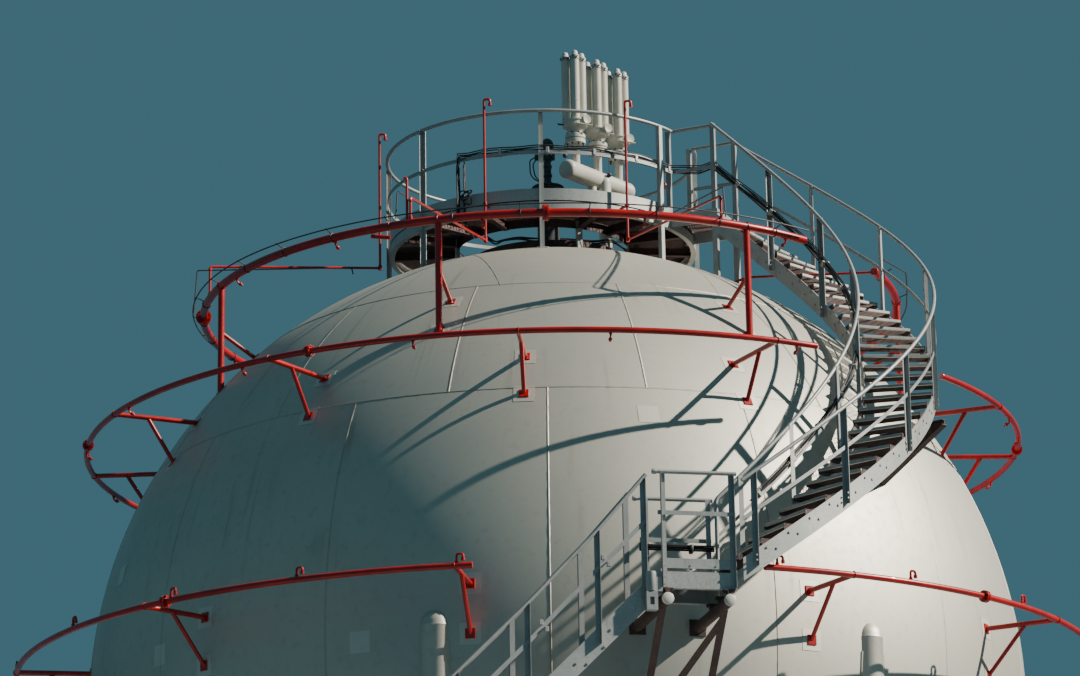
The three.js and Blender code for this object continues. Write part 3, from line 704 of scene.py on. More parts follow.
def legModel():
    r = leg["radius"]
    shoulder = leg["top"] - r
    outline = [(0, groundLevel + 0.02), (r, groundLevel + 0.02)]
    weldHalf, weldRise, steps = leg["weldHalf"], leg["weldRise"], leg["domeSteps"]
    for z in sorted(leg["collars"]):
        outline += [
            (r, z - weldHalf), (r + weldRise, z - weldRise),
            (r + weldRise, z + weldRise), (r, z + weldHalf),
        ]
    outline += [(r, shoulder - 0.02), (r + 0.004, shoulder - 0.008), (r, shoulder + 0.004)]
    for k in range(1, steps + 1):
        a = math.pi / 2 * k / steps
        outline.append((r * math.cos(a) if k < steps else 0, shoulder + r * math.sin(a)))
    parts = [placed(spun(outline, 40), shift(0, -leg["circle"], 0))]
    half = leg["plate"]
    y = -leg["circle"]
    parts.append(
        block(-half, half, y - half, y + half, groundLevel, groundLevel + leg["plateThick"], 0.005)
    )
    for k in range(4):
        plateTop = leg["plateThick"]
        ribOutline = [(r - 0.01, plateTop), (half - 0.04, plateTop), (r - 0.01, leg["gusset"])]
        rib = prism(ribOutline, -leg["ribThick"] / 2, leg["ribThick"] / 2)
        placed(rib, shift(0, 0, groundLevel) @ Matrix.Rotation(math.pi / 2, 4, "X"))
        parts.append(placed(rib, shift(0, y, 0) @ turn(45 + 90 * k)))
    weld = []
    for k in range(-30, 31):
        a = math.radians(k * 5.0)
        p = Vector((r * math.sin(a), y + r * math.cos(a), 0))
        inside = shell["radius"] ** 2 - p.x**2 - p.y**2
        if inside > 0:
            p.z = -math.sqrt(inside)
            weld.append(p)
    parts.append(tubes([weld], leg["headWeld"], 2))
    return joined(parts)


legCopies = copied(legModel(), [turn(a) for a in legAzimuths])
for i, column in enumerate(legCopies):
    dressed(column, f"column_{i + 1}", legPaint, [f"leg_{i + 1}"])
anchors = []
for azimuth in legAzimuths:
    for x in (-leg["anchorOut"], leg["anchorOut"]):
        for y in (-leg["anchorOut"], leg["anchorOut"]):
            p = turn(azimuth) @ Vector((x, y - leg["circle"], groundLevel + leg["plateThick"]))
            anchors.append((p, upward))
studs = tubes([[p, p + upward * 0.07] for p, d in anchors], 0.014, 2)
dressed(joined(bolts(anchors, 0.03, 0.026), studs), "anchor_nuts", boltSteel)
print("legs standing")

# Crossed tie rods with turnbuckles, fork ends on lugs, and a round hub plate where they cross
rods = {
    "radius": 0.038,
    "top": -2.7,
    "bottom": -9.1,
    "end": 0.3,
    "sleeve": 0.058,
    "sleeveFrom": 1.2,
    "sleeveLength": 0.62,
    "lugThick": 0.028,
    "lugHalf": 0.15,
    "lugShift": 0.06,
    "pin": 0.04,
    "pinHalf": 0.07,
    "fork": 0.055,
    "forkLength": 0.25,
    "hub": 0.19,
    "hubThick": 0.05,
    "hubBolts": 0.13,
}
bayTurn = 180 / leg["count"]
halfBay = leg["circle"] * math.sin(math.radians(bayTurn))
bayDistance = leg["circle"] * math.cos(math.radians(bayTurn))


def tieModel():
    middle = (rods["top"] + rods["bottom"]) / 2
    end = halfBay - rods["end"]
    rise = (rods["top"] - rods["bottom"]) / 2 * (end / halfBay)
    y = -bayDistance
    centre = Vector((0, y, middle))
    pinHalf = Vector((0, rods["pinHalf"], 0))
    parts, sleeves, lines = [], [], []
    for across, side in ((1, 1), (-1, 1), (1, -1), (-1, -1)):
        tip = Vector((across * end, y, middle + side * rise))
        along = (tip - centre).normalized()
        lines.append([centre + along * 0.1, tip])
        start = centre + along * rods["sleeveFrom"]
        sleeves.append([start, start + along * rods["sleeveLength"]])
        x0, x1 = sorted((across * (halfBay - 0.37), across * (halfBay - leg["radius"] + 0.03)))
        lugZ = tip.z + side * rods["lugShift"]
        thick, tall = rods["lugThick"], rods["lugHalf"]
        parts.append(block(x0, x1, y - thick, y + thick, lugZ - tall, lugZ + tall, 0.01))
        fork = tip - along * 0.05
        parts.append(tubes([[fork - pinHalf, fork + pinHalf]], rods["pin"], 4))
        parts.append(tubes([[fork - along * rods["forkLength"], fork]], rods["fork"], 4))
    parts += [tubes(lines, rods["radius"], 4), tubes(sleeves, rods["sleeve"], 4)]
    wide, thick, edge = rods["hub"], rods["hubThick"], 0.01
    hub = [
        (0, -thick), (wide - edge, -thick), (wide, edge - thick), (wide, thick - edge),
        (wide - edge, thick), (0, thick),
    ]
    parts.append(placed(spun(hub, 32), aimed(centre, (0, 1, 0))))
    pins = []
    for k in range(4):
        a = math.radians(45 + 90 * k)
        x, z = rods["hubBolts"] * math.cos(a), rods["hubBolts"] * math.sin(a)
        p = Vector((x, y - thick, middle + z))
        pins.append((p, (0, -1, 0)))
        pins.append((p + Vector((0, 2 * thick, 0)), (0, 1, 0)))
    parts.append(bolts(pins, 0.022, 0.02))
    return joined(parts)


tieCopies = copied(tieModel(), [turn(a + bayTurn) for a in legAzimuths])
for i, ties in enumerate(tieCopies):
    dressed(ties, f"bracing_{i + 1}", zincLight, [f"tie_rods_{i + 1}"])
print("tie rods braced")

# Bottom nozzle: neck, flange with bolts, and a blank below
outlet = [
    (0, -6.56), (0.185, -6.56), (0.185, -6.532), (0.12, -6.53), (0.12, -6.526), (0.185, -6.524),
    (0.185, -6.5), (0.13, -6.49), (0.11, -6.46), (0.11, -6.2), (0.16, -6.19), (0, -6.19),
]
boltAngles = [k * 30 + 15 for k in range(12)]
outletBolts = [(around(a, 0.152, -6.56), -upward) for a in boltAngles]
outletBolts += [(around(a, 0.152, -6.5), upward) for a in boltAngles]
bottomNozzle = joined(spun(outlet, 36), bolts(outletBolts, 0.014, 0.016))
dressed(bottomNozzle, "bottom_nozzle", ventCream, ["bottom_outlet"])


# Red water rings on brackets, with spray hooks, flanges, pads on the shell and a sensing line
waterRings = {
    "top": {"radius": 4.727, "height": 5.439, "pipe": 0.054, "from": 65, "to": 403.8},
    "middle": {"radius": 6.269, "height": 3.454, "pipe": 0.038, "from": 51.5, "to": 391},
    "lower": {"radius": 7.131, "height": 0.409, "pipe": 0.038, "from": 20.1, "to": 352.3},
    "topPosts": [-117.9, -66.5, -17, 32, 83.4, 134.8, 186.3],
    "middleArms": [-93.5, -63.5, -33.3, -3.5, 26, 67.3, 91.8, 121, 151, 181, 210, 239],
    "lowerArms": [-79.5, -43.7, -9.3, 29.5, 61, 95, 130, 165, 200, 238],
    "topFlanges": [-0.4, -84.5, 150, 210],
    "middleFlanges": [-27.9, -78.4, 88.4, 170],
    "lowerFlanges": [-40.8, 46.7, 150, 250],
    "arm": 0.033,
    "brace": 0.027,
    "topPost": 0.044,
    "topBrace": 0.028,
    "topBraceFrom": 4.79,
    "topBraceFoot": 0.688 * shell["radius"],
    "pad": 0.062,
    "padThick": 0.014,
    "patch": 0.13,
}
touchUps = [(-22.0, -0.195), (-52.1, 0.09), (-66.9, 1.438), (12.0, 2.6), (48.0, -0.6)]
shellPads = []  # places on the shell, with a touch-up patch of paint round each


def onShell(azimuth, height, lift=0.0):
    r = shell["radius"] + lift
    return around(azimuth, math.sqrt(max(r * r - height * height, 0)), height)


def squareOn(place):
    # a frame on the shell: Z outwards, X level
    normal = place.normalized()
    level = upward.cross(normal).normalized()
    rise = normal.cross(level)
    turned = Matrix((level, rise, normal)).transposed().to_4x4()
    return Matrix.Translation(place) @ turned


def flangePair(pipe):
    wide = pipe * 1.95
    outline = [
        (pipe * 0.9, -0.03), (wide, -0.03), (wide, -0.005),
        (wide * 0.8, -0.003), (wide * 0.8, 0.003),
        (wide, 0.005), (wide, 0.03), (pipe * 0.9, 0.03), (pipe * 0.9, -0.03),
    ]
    places = []
    for k in range(8):
        a = math.radians(45 * k + 22.5)
        p = Vector((wide * 0.8 * math.cos(a), wide * 0.8 * math.sin(a), 0))
        places += [(p + upward * 0.03, upward), (p - upward * 0.03, -upward)]
    return joined(spun(outline, 24), bolts(places, 0.011, 0.012))


def sprayHook(pipe, updown, curl):
    # a short stub with an elbow and a nozzle head that points back to the shell
    rise = updown * (pipe + 0.045)
    tip = Vector((0, curl, updown * (pipe + 0.045 + curl * 0.5)))
    line = rounded([(0, 0, 0), (0, 0, rise), tip], 0.03)
    back = (tip - Vector((0, 0, rise))).normalized()
    collar = [(0, 0, updown * pipe * 0.8), (0, 0, updown * (pipe + 0.02))]
    parts = [tubes([line], 0.012, 2), tubes([collar], 0.02, 2)]
    head = [
        (0, -0.02), (0.019, -0.02), (0.024, -0.008), (0.024, 0.012),
        (0.014, 0.02), (0.012, 0.036), (0, 0.036),
    ]
    parts.append(placed(spun(head, 12), aimed(tip, back)))
    return joined(parts)


def bentNozzle(pipe):
    # a stub that bends over sideways and points back down, like a walking stick
    foot, crown, wide = pipe * 0.8, pipe + 0.105, 0.075
    line = rounded([(0, 0, foot), (0, 0, crown), (wide, 0, crown), (wide, 0, crown - 0.07)], 0.036)
    collars = [
        [(0, 0, foot), (0, 0, pipe + 0.022)], [(wide, 0, crown - 0.045), (wide, 0, crown - 0.085)],
    ]
    return joined(tubes([line], 0.015, 3), tubes(collars, 0.023, 3))


def ringParts(ring, flanges, hooks, updown, curl):
    r, z, pipe = ring["radius"], ring["height"], ring["pipe"]

    def facingAlong(azimuth, way=1):
        return aimed(around(azimuth, r, z), turn(azimuth) @ Vector((way, 0, 0)))

    parts = [tubes([arcLine(r, ring["from"], ring["to"], z, 180)], pipe, 9)]
    parts += copied(flangePair(pipe), [facingAlong(a) for a in flanges])
    cap = [(0, -0.012), (pipe * 1.03, -0.012), (pipe * 1.06, 0), (pipe * 0.96, 0.012), (0, 0.016)]
    parts += copied(spun(cap, 24), [facingAlong(ring["from"], -1), facingAlong(ring["to"])])
    nozzle = bentNozzle(pipe) if updown > 0 else sprayHook(pipe, updown, curl)
    parts += copied(nozzle, [ringFrame(a, r, z) for a in hooks])
    return parts


def strapRound(azimuth, ring):
    # a thin clamp round the pipe
    centre = around(azimuth, ring["radius"], ring["height"])
    out = turn(azimuth) @ Vector((0, -1, 0))
    loop = []
    for k in range(12):
        a = 2 * math.pi * k / 12
        loop.append(centre + (out * math.cos(a) + upward * math.sin(a)) * (ring["pipe"] + 0.004))
    return loop


def armedRing(ring, arms, share, drop):
    # level arms with a sloping brace, both on pads
    r, z = ring["radius"], ring["height"]
    armLines, braceLines, straps = [], [], []
    low = z - drop
    wall, wallLow = shellHeightAt(z), shellHeightAt(low)
    start = r + (wall - r) * share
    for azimuth in arms:
        armLines.append(
            [around(azimuth, r - ring["pipe"] * 0.5, z), around(azimuth, wall - 0.01, z)]
        )
        braceLines.append([around(azimuth, start, z - 0.01), around(azimuth, wallLow - 0.01, low)])
        shellPads.append(onShell(azimuth, z))
        shellPads.append(onShell(azimuth, low))
        straps.append(strapRound(azimuth, ring))
    level = tubes(armLines, waterRings["arm"], 4)
    sloping = tubes(braceLines, waterRings["brace"], 4)
    return [level, sloping, tubes(straps, 0.007, 1, closed=True)]


top, middle, lower = (waterRings[k] for k in ("top", "middle", "lower"))
hooksTop = [a for a in [-59.9 + 24.9 * k for k in range(-7, 5)] if abs(a + 84.5) > 4]
topParts = ringParts(top, waterRings["topFlanges"], hooksTop, -1, 0.05)
postLines, braceLines, straps = [], [], []
foot = shellHeightAt(top["radius"])
braceFoot = waterRings["topBraceFoot"]
for azimuth in waterRings["topPosts"]:
    onPost = [
        around(azimuth, top["radius"], z)
        for z in (foot - 0.05, top["height"], waterRings["topBraceFrom"], foot)
    ]
    braceEnd = around(azimuth, braceFoot, shellHeightAt(braceFoot))
    postLines.append(onPost[:2])
    braceLines.append([onPost[2], braceEnd])
    shellPads += [onPost[3], braceEnd]
    straps.append(strapRound(azimuth, top))
topParts += [
    tubes(postLines, waterRings["topPost"], 4), tubes(braceLines, waterRings["topBrace"], 3),
]
topParts.append(tubes(straps, 0.008, 1, closed=True))
dressed(joined(topParts), "water_ring_top", signalRed, ["spray_ring_top"])

hooksMiddle = [a for a in [-15.3 + 21.9 * k for k in range(-12, 5)] if not 31 < a % 360 < 51.5]
middleParts = ringParts(middle, waterRings["middleFlanges"], hooksMiddle, -1, 0.045)
middleParts += armedRing(middle, waterRings["middleArms"], 0.4, 0.56)
dressed(joined(middleParts), "water_ring_middle", signalRed, ["spray_ring_middle"])

hooksLower = [-56.5, -40.0, -25.0, -9.1, 21.3, 36.3, 53.2] + [53.2 + 16.2 * k for k in range(1, 15)]
lowerParts = ringParts(lower, waterRings["lowerFlanges"], hooksLower, 1, 0.045)
lowerParts += armedRing(lower, waterRings["lowerArms"], 0.45, 0.6)
dressed(joined(lowerParts), "water_ring_lower", signalRed, ["spray_ring_lower"])

padModel = pad(waterRings["pad"], -waterRings["padThick"], waterRings["padThick"], 0.004)
pads = copied(padModel, [squareOn(p) for p in shellPads])
dressed(joined(pads), "ring_pads", signalRed)


# Thin square patches of paint that follow the shell
patchPlaces = shellPads + [onShell(a, z) for a, z in touchUps]
bpy.ops.mesh.primitive_grid_add(x_subdivisions=6, y_subdivisions=6, size=waterRings["patch"] * 2)
allPatches = joined(copied(bpy.context.object, [squareOn(p) for p in patchPlaces]))
for vertex in allPatches.data.vertices:
    vertex.co = vertex.co.normalized() * (shell["radius"] + 0.001)
sheet = allPatches.modifiers.new("sheet", "SOLIDIFY")
sheet.thickness = 0.0015
sheet.offset = 1
only(allPatches)
bpy.ops.object.modifier_apply(modifier="sheet")
dressed(allPatches, "touch_up_patches", patchPaint, angle=50)
print("water rings hung")

# Sprays round the platform: each leaves the ring, crosses to a riser and hooks over at its top
sprays = [
    {"from": -21.5, "corner": 5.778, "azimuth": -19.5, "foot": 5.931, "top": 7.908},
    {"from": 27.5, "corner": 5.797, "azimuth": 30.4, "foot": 5.964, "top": 7.913},
    {"from": -74, "corner": 5.888, "azimuth": -87.3, "foot": 6.204, "top": 8.15},
    {"from": 133, "corner": 5.79, "azimuth": 131.3, "foot": 5.95, "top": 7.89},
]
sprayPipe = {"radius": 0.017, "away": 2.24, "reach": 0.08, "tip": 0.07, "bend": 0.035}
deckMiddle = (-0.085, 0)
sprayLines, collarLines, brackets = [], [], []
for spray in sprays:
    start = around(spray["from"], top["radius"], top["height"])
    corner = around(spray["from"], top["radius"], spray["corner"])
    foot = around(spray["azimuth"], sprayPipe["away"], spray["foot"], deckMiddle)
    head = around(spray["azimuth"], sprayPipe["away"], spray["top"], deckMiddle)
    over = head + Vector((sprayPipe["reach"], 0, 0))
    tip = over - upward * sprayPipe["tip"]
    sprayLines.append(rounded([start, corner, foot, head, over, tip], sprayPipe["bend"]))
    collarLines += [[start, start + upward * 0.085], [tip + upward * 0.01, tip - upward * 0.02]]
    collarLines.append([foot - upward * 0.03, foot + upward * 0.04])
    collarLines.append([corner - upward * 0.03, corner - upward * 0.05])
    out = turn(spray["azimuth"]) @ Vector((0, -1, 0))
    if abs(spray["azimuth"]) < 45:
        at = around(spray["azimuth"], sprayPipe["away"], 6.44, deckMiddle)
        brackets.append([at + out * 0.03, at - out * 0.13])
        collarLines.append([at - upward * 0.02, at + upward * 0.02])
stubFrom = around(-28.5, 4.70, 5.36)
collarLines.append([stubFrom, stubFrom + Vector((0.24, -0.03, -0.03))])
endBranch = [around(65.3, 4.71, 5.439), Vector((2.62, -1.87, 5.43)), Vector((2.43, -1.85, 5.37))]
sprayLines.append(rounded(endBranch, 0.05))
thinRiser = around(-22.1, 4.727, 5.44)
sprayLines.append(
    rounded([thinRiser, thinRiser + upward * 0.6, thinRiser + Vector((-0.04, 0, 0.61))], 0.02)
)
sprayPiece = joined(
    tubes(sprayLines, sprayPipe["radius"], 3),
    tubes(collarLines, 0.026, 3),
    tubes(brackets, 0.02, 2),
)
dressed(sprayPiece, "platform_sprays", signalRed)

# Sensing line outside the top ring on tilted stand-offs, with thin lines beside the spray branches
sensing = {"radius": 4.872, "height": 5.515, "pipe": 0.009, "from": -132, "to": 43, "step": 10.4}
branches = [
    [
        around(-23.6, 4.80, 5.5), around(-23.4, 4.78, 5.867), (-1.02, -2.25, 6.0),
        (-0.98, -2.2, 5.93),
    ],
    [around(27.8, 4.80, 5.5), around(27.8, 4.75, 5.913), (1.2, -1.98, 6.07)],
    [around(-84.4, 4.86, 5.5), around(-84.4, 4.82, 6.1), (-2.7, -0.35, 6.14), (-2.68, -0.33, 6.05)],
]
farSide = [
    around(67, 4.80, 5.64), around(75.6, 4.93, 5.66), around(79, 4.90, 5.53),
    around(88, 4.872, 5.515),
]
sensingLines = [arcLine(sensing["radius"], sensing["from"], sensing["to"], sensing["height"], 120)]
sensingLines += [rounded(points, 0.03) for points in branches]
sensingLines.append(
    rounded(farSide, 0.05) + arcLine(sensing["radius"], 90, 112, sensing["height"], 12)
)
standoffs, ties = [], []
for azimuth in [sensing["from"] + 3 + sensing["step"] * k for k in range(17)] + [68, 82, 98]:
    standoffs.append([around(azimuth, 4.74, 5.47), around(azimuth, 4.885, 5.525)])
    ties.append(strapRound(azimuth, top))
sensingPiece = joined(
    tubes(sensingLines, sensing["pipe"], 2),
    tubes(standoffs, 0.007, 1),
    tubes(ties, 0.008, 1, closed=True),
)
dressed(sensingPiece, "sensing_line", boltSteel)
print("sprays and sensing line fitted")

# Top platform: a ring of grating with a toe board, an edge channel, beams, posts and a bridge
deck = {
    "centre": deckMiddle,
    "height": 6.543,
    "inner": 1.18,
    "rim": 2.11,
    "railRadius": 2.135,
    "railLine": 7.729,
    "midRail": 0.6,
    "posts": [-144.6, -96.4, -48.2, 0, 48.2, 96.4, 144.6, 180],
    "beams": [24, 72, -24, -72, 120, -120, 160],
    "innerLegs": [-135, -72, 24, 120],
    "toeHigh": 0.162,
    "footPad": 0.08,
}
bridge = {
    "azimuth": 66.4,
    "near": -0.435,
    "far": 0.4205,
    "reach": 2.66,
    "start": -1.86,
    "gratingTo": -1.62,
    "firstRod": 0.05,
    "plate": 0.01,
    "postInset": 0.045,
}
deckCentre = Vector((*deck["centre"], 0))
onBridge = turn(bridge["azimuth"])
centreInBridge = onBridge.inverted() @ deckCentre
bridgeSides = []
for x in (bridge["near"] + 0.031, bridge["far"] - 0.031):
    across = x - centreInBridge.x
    y = centreInBridge.y - math.sqrt(deck["railRadius"] ** 2 - across**2)
    azimuth = bridge["azimuth"] + math.degrees(math.asin(across / deck["railRadius"]))
    bridgeSides.append((x, y, azimuth))
railFrom = bridgeSides[1][2]
railTo = bridgeSides[0][2] + 360


def deckArc(radius, z):
    # round the platform from one side of the bridge to the other
    return arcLine(radius, railFrom, railTo, z, 120, deck["centre"])


def deckLoop(radius, z):
    return arcLine(radius, 0, 357, z, 119, deck["centre"])


zDeck = deck["height"]
toeBoard = swept([deckArc(deck["rim"] - 0.004, zDeck)], bar(0.008, deck["toeHigh"], 0.019))
channelSection = [
    (0, -0.08), (-0.07, -0.08), (-0.07, -0.088), (-0.009, -0.088),
    (-0.009, -0.196), (-0.07, -0.196), (-0.07, -0.204), (0, -0.204),
]
edgeChannel = swept([deckLoop(deck["rim"] - 0.003, zDeck)], channelSection, closed=True)
edgeBacking = swept([deckLoop(deck["rim"] - 0.02, zDeck)], bar(0.008, 0.085, -0.043), closed=True)
innerAngle = [
    (0, -0.14), (0.008, -0.14), (0.008, -0.04), (0.06, -0.04), (0.06, -0.034), (0, -0.034),
]
innerRing = swept([deckLoop(deck["inner"], zDeck)], innerAngle, closed=True)
beamSection = [
    (-0.04, -0.15), (0.04, -0.15), (0.04, -0.142), (0.004, -0.142),
    (0.004, -0.038), (0.04, -0.038), (0.04, -0.031), (-0.04, -0.031),
    (-0.04, -0.038), (-0.004, -0.038), (-0.004, -0.142), (-0.04, -0.142),
]
beamLines = []
for azimuth in deck["posts"] + deck["beams"]:
    ends = [
        around(azimuth, r, zDeck, deck["centre"])
        for r in (deck["inner"] + 0.005, deck["rim"] - 0.01)
    ]
    beamLines.append(ends)
deckBeams = swept(beamLines, beamSection)
deckFrame = joined(toeBoard, edgeChannel)
deckUnderside = joined(edgeBacking, innerRing, deckBeams)
# The beams, backing and inner ring take the dark steel: oxide, plus painted shade of the deck's
# underside.
dressed(deckUnderside, "platform_beams", oxideAndShadeSteel)

postParts, feet = [], []


def crownPost(kind, place, top, azimuth, hand=1):
    # an angle that stands on the shell below its place
    ground = shellHeightAt(math.hypot(place.x, place.y))
    postParts.append(
        anglePost(kind, ground - 0.01, top, shift(place.x, place.y, 0) @ turn(azimuth), hand)
    )
    feet.append(Vector((place.x, place.y, ground)))


for azimuth in deck["posts"]:
    openOut = -90 < azimuth <= 0
    at = around(azimuth, deck["rim"] + 0.03, 0, deck["centre"])
    crownPost("post", at, deck["railLine"], azimuth + 180 * openOut, -1 if openOut else 1)
for azimuth in deck["innerLegs"]:
    crownPost(
        "leg", around(azimuth, deck["inner"] + 0.035, 0, deck["centre"]), zDeck - 0.035, azimuth
    )
for x in (bridge["near"] + 0.04, bridge["far"] - 0.04):
    at = onBridge @ Vector((x, bridge["postInset"] - bridge["reach"], 0))
    crownPost("leg", at, zDeck - 0.02, bridge["azimuth"])
postParts += copied(pad(deck["footPad"], -0.008, 0.008, 0.003), [squareOn(p) for p in feet])

near, far, start, reach, thick = (bridge[k] for k in ("near", "far", "start", "reach", "plate"))
bridgePlates = [
    block(x, x + thick, -reach, start, zDeck - 0.18, zDeck) for x in (near, far - thick)
]
bridgePlates.append(block(near, far, -reach, -reach + thick, zDeck - 0.12, zDeck))
for plate in bridgePlates:
    placed(plate, onBridge)
dressed(
    joined(deckFrame, postParts, bridgePlates),
    "platform_frame", zincLight, ["top_platform"],
)


def acrossRing(offset):
    # the stretches of a straight bar that lie on the ring of the deck
    outer, inner = deck["rim"] - 0.012, deck["inner"] + 0.01
    if abs(offset) >= outer:
        return []
    far = math.sqrt(outer**2 - offset**2)
    if abs(offset) >= inner:
        return [(-far, far)]
    near = math.sqrt(inner**2 - offset**2)
    return [(-far, -near), (near, far)]


barLines, rodLines = [], []
count = int(deck["rim"] / grid["pitch"])
for k in range(-count, count + 1):
    y = k * grid["pitch"]
    for x0, x1 in acrossRing(y):
        barLines.append([deckCentre + Vector((x0, y, zDeck)), deckCentre + Vector((x1, y, zDeck))])
zRod = zDeck - grid["rodDrop"]
count = int(deck["rim"] / grid["rodPitch"])
for k in range(-count, count + 1):
    x = k * grid["rodPitch"]
    for y0, y1 in acrossRing(x):
        rodLines.append([deckCentre + Vector((x, y0, zRod)), deckCentre + Vector((x, y1, zRod))])
x0, x1 = near + 0.012, far - 0.012
bridgeBars, bridgeRods = [], []
count = int((reach + bridge["gratingTo"]) / grid["pitch"])
for k in range(1, count + 1):
    y = -reach + k * grid["pitch"]
    bridgeBars.append([(x0, y, zDeck), (x1, y, zDeck)])
count = int((x1 - x0 - bridge["firstRod"]) / grid["rodPitch"])
for k in range(count + 1):
    x = x0 + bridge["firstRod"] + k * grid["rodPitch"]
    bridgeRods.append([(x, -reach + 0.012, zRod), (x, bridge["gratingTo"], zRod)])
barLines += moved(bridgeBars, onBridge)
rodLines += moved(bridgeRods, onBridge)
# The grating is dark brown partly as oxide and partly as painted shade of its underside.
dressed(gratingOf(barLines, rodLines), "platform_grating", oxideAndShadeSteel)
print("platform laid")

# Low round curb on the crown below the opening of the deck, dark as painted shade from the deck
# above
curb = {"radius": 1.095, "top": 6.25, "wall": 0.012, "lip": 0.05, "lipThick": 0.01}
curbFoot = shellHeightAt(curb["radius"]) - 0.02
r, lip, wall = curb["radius"], curb["radius"] - curb["lip"], curb["radius"] - curb["wall"]
z, below = curb["top"], curb["top"] - curb["lipThick"]
curbOutline = [
    (r, curbFoot), (r, z), (lip, z), (lip, below), (wall, below), (wall, curbFoot), (r, curbFoot),
]
dressed(spun(curbOutline, 64), "crown_curb", oxideAndShadeSteel)

# Handrail of the platform and its bridge: one bent tube, a flat middle rail, and angle posts
railEnd = bridge["postInset"] - bridge["reach"]


def railPath(z, end):
    (nearX, nearY, _), (farX, farY, _) = bridgeSides
    path = [onBridge @ Vector((farX, end, z)), onBridge @ Vector((farX, farY, z))]
    path += deckArc(deck["railRadius"], z)[1:-1]
    path += [onBridge @ Vector((nearX, nearY, z)), onBridge @ Vector((nearX, end, z))]
    return path


railParts = [
    tubes([railPath(deck["railLine"], railEnd - 0.03)], railing["tube"], 8),
    swept(
        [railPath(zDeck + deck["midRail"], railEnd)],
        bar(railing["flatThick"], railing["flatHalf"] * 2),
    ),
]
for x, y, azimuth in bridgeSides:
    for yPost in (railEnd, y + 0.06):
        railParts.append(
            anglePost("rail", zDeck - 0.15, deck["railLine"], onBridge @ shift(x, yPost, 0))
        )
clips = []
for azimuth in deck["posts"]:
    at = ringFrame(azimuth, deck["railRadius"], zDeck + deck["midRail"], deck["centre"])
    for dz in (-0.012, 0.012):
        clips.append((at @ Vector((0.02, -0.012, dz)), turn(azimuth) @ Vector((0, -1, 0))))
railParts.append(bolts(clips, 0.008, 0.01))
dressed(joined(railParts), "platform_rail", zincRail, ["platform_handrail"])

# Vents: a level header vessel, its neck and drain, and three relief stacks
header = {
    "from": Vector((0.225, -1.191, 7.24)),
    "to": Vector((1.135, -0.035, 7.24)),
    "radius": 0.13,
    "headSteps": 8,
    "neck": 0.583,
    "neckPipe": 0.09,
    "neckBend": 0.11,
    "drain": 0.42,
    "drainPipe": 0.06,
    "stacks": [0.176, 0.507, 0.827],
}
stackPipes = [(0.013, -0.071), (-0.116, 0.015), (0.104, 0.057)]


def onHeader(share):
    return header["from"].lerp(header["to"], share)


half = (header["to"] - header["from"]).length / 2
r = header["radius"]
outline = [(0, -half)]
for k in range(1, header["headSteps"] + 1):
    a = math.pi / 2 * k / header["headSteps"]
    outline.append((r * math.sin(a), -half + r * 0.5 * (1 - math.cos(a))))
outline += [(r + 0.003, -half + r * 0.5 + 0.012), (r, -half + r * 0.5 + 0.024)]
outline += [(radius, -z) for radius, z in reversed(outline)]
alongHeader = (header["to"] - header["from"]).normalized()
vessel = placed(spun(outline, 36), aimed(onHeader(0.5), alongHeader))
branch = onHeader(header["neck"])
neckFoot = branch + Vector((0.02, -0.12, -1.24))
neckTop = Vector((neckFoot.x, neckFoot.y, branch.z))
neckLine = rounded([branch, neckTop, neckFoot], header["neckBend"], 8)
drainTop = onHeader(header["drain"])
flange = [
    (0, -0.028), (0.145, -0.028), (0.15, -0.024), (0.15, -0.003), (0.13, 0), (0.15, 0.003),
    (0.15, 0.024), (0.145, 0.028), (0, 0.028),
]
drainFlange = [(0, -0.05), (0.1, -0.05), (0.105, -0.045), (0.105, -0.005), (0.1, 0), (0, 0)]
crownBoss = [(0, 5.98), (0.2, 5.98), (0.2, 6.06), (0.19, 6.065), (0.085, 6.07), (0, 6.07)]
neckFlangeAt = Vector((neckFoot.x, neckFoot.y, deck["height"] + 0.178))
drainFlangeAt = Vector((drainTop.x, drainTop.y, drainTop.z - 0.23))
headerPiece = joined(
    vessel,
    tubes([neckLine], header["neckPipe"], 6),
    placed(spun(flange, 32), Matrix.Translation(neckFlangeAt)),
    tubes([[drainTop, drainTop - upward * 0.25]], header["drainPipe"], 6),
    placed(spun(drainFlange, 28), Matrix.Translation(drainFlangeAt)),
    boltCircle(neckFlangeAt, 0.125, 10, 0.028),
    boltCircle(drainFlangeAt, 0.085, 6, 0.0),
    spun(crownBoss, 32),
)
dressed(headerPiece, "vent_vessel", ventCream, ["vent_header"], 40)

# A stack: riser, flange pair, valve body, and three outlet pipes with rain caps
valve = {
    "riser": 0.059,
    "flange": 7.64,
    "flangeRadius": 0.139,
    "flangeThick": 0.134,
    "flangeBolts": 0.115,
    "body": 7.884,
    "bodyTop": 7.97,
    "bodyBolts": 0.15,
    "pipe": 0.058,
    "seam": 8.246,
    "collar": 8.846,
    "dome": 8.92,
    "top": 8.98,
    "bolt": (0.013, 0.022),
}


def valveOutline(foot):
    riser, wide, rim = valve["riser"], valve["flangeRadius"], valve["flangeRadius"] - 0.005
    low, body, top = valve["flange"], valve["body"], valve["bodyTop"]
    fromFlange = [
        (0.072, -0.012), (0.076, 0), (rim, 0), (wide, 0.005),
        (wide, 0.056), (rim, 0.06), (0.104, 0.063), (0.104, 0.071),
        (rim, 0.074), (wide, 0.079), (wide, 0.129), (rim, 0.134),
        (0.096, 0.136), (0.086, 0.15), (0.092, 0.175), (0.118, 0.21),
    ]
    outline = [(0, foot), (riser, foot), (riser, low - 0.03)] + [
        (x, low + z) for x, z in fromFlange
    ]
    outline += [(0.15, body - 0.006), (0.168, body), (0.168, body + 0.016), (0.158, body + 0.02)]
    return outline + [(0.158, top - 0.016), (0.17, top - 0.012), (0.17, top), (0, top)]


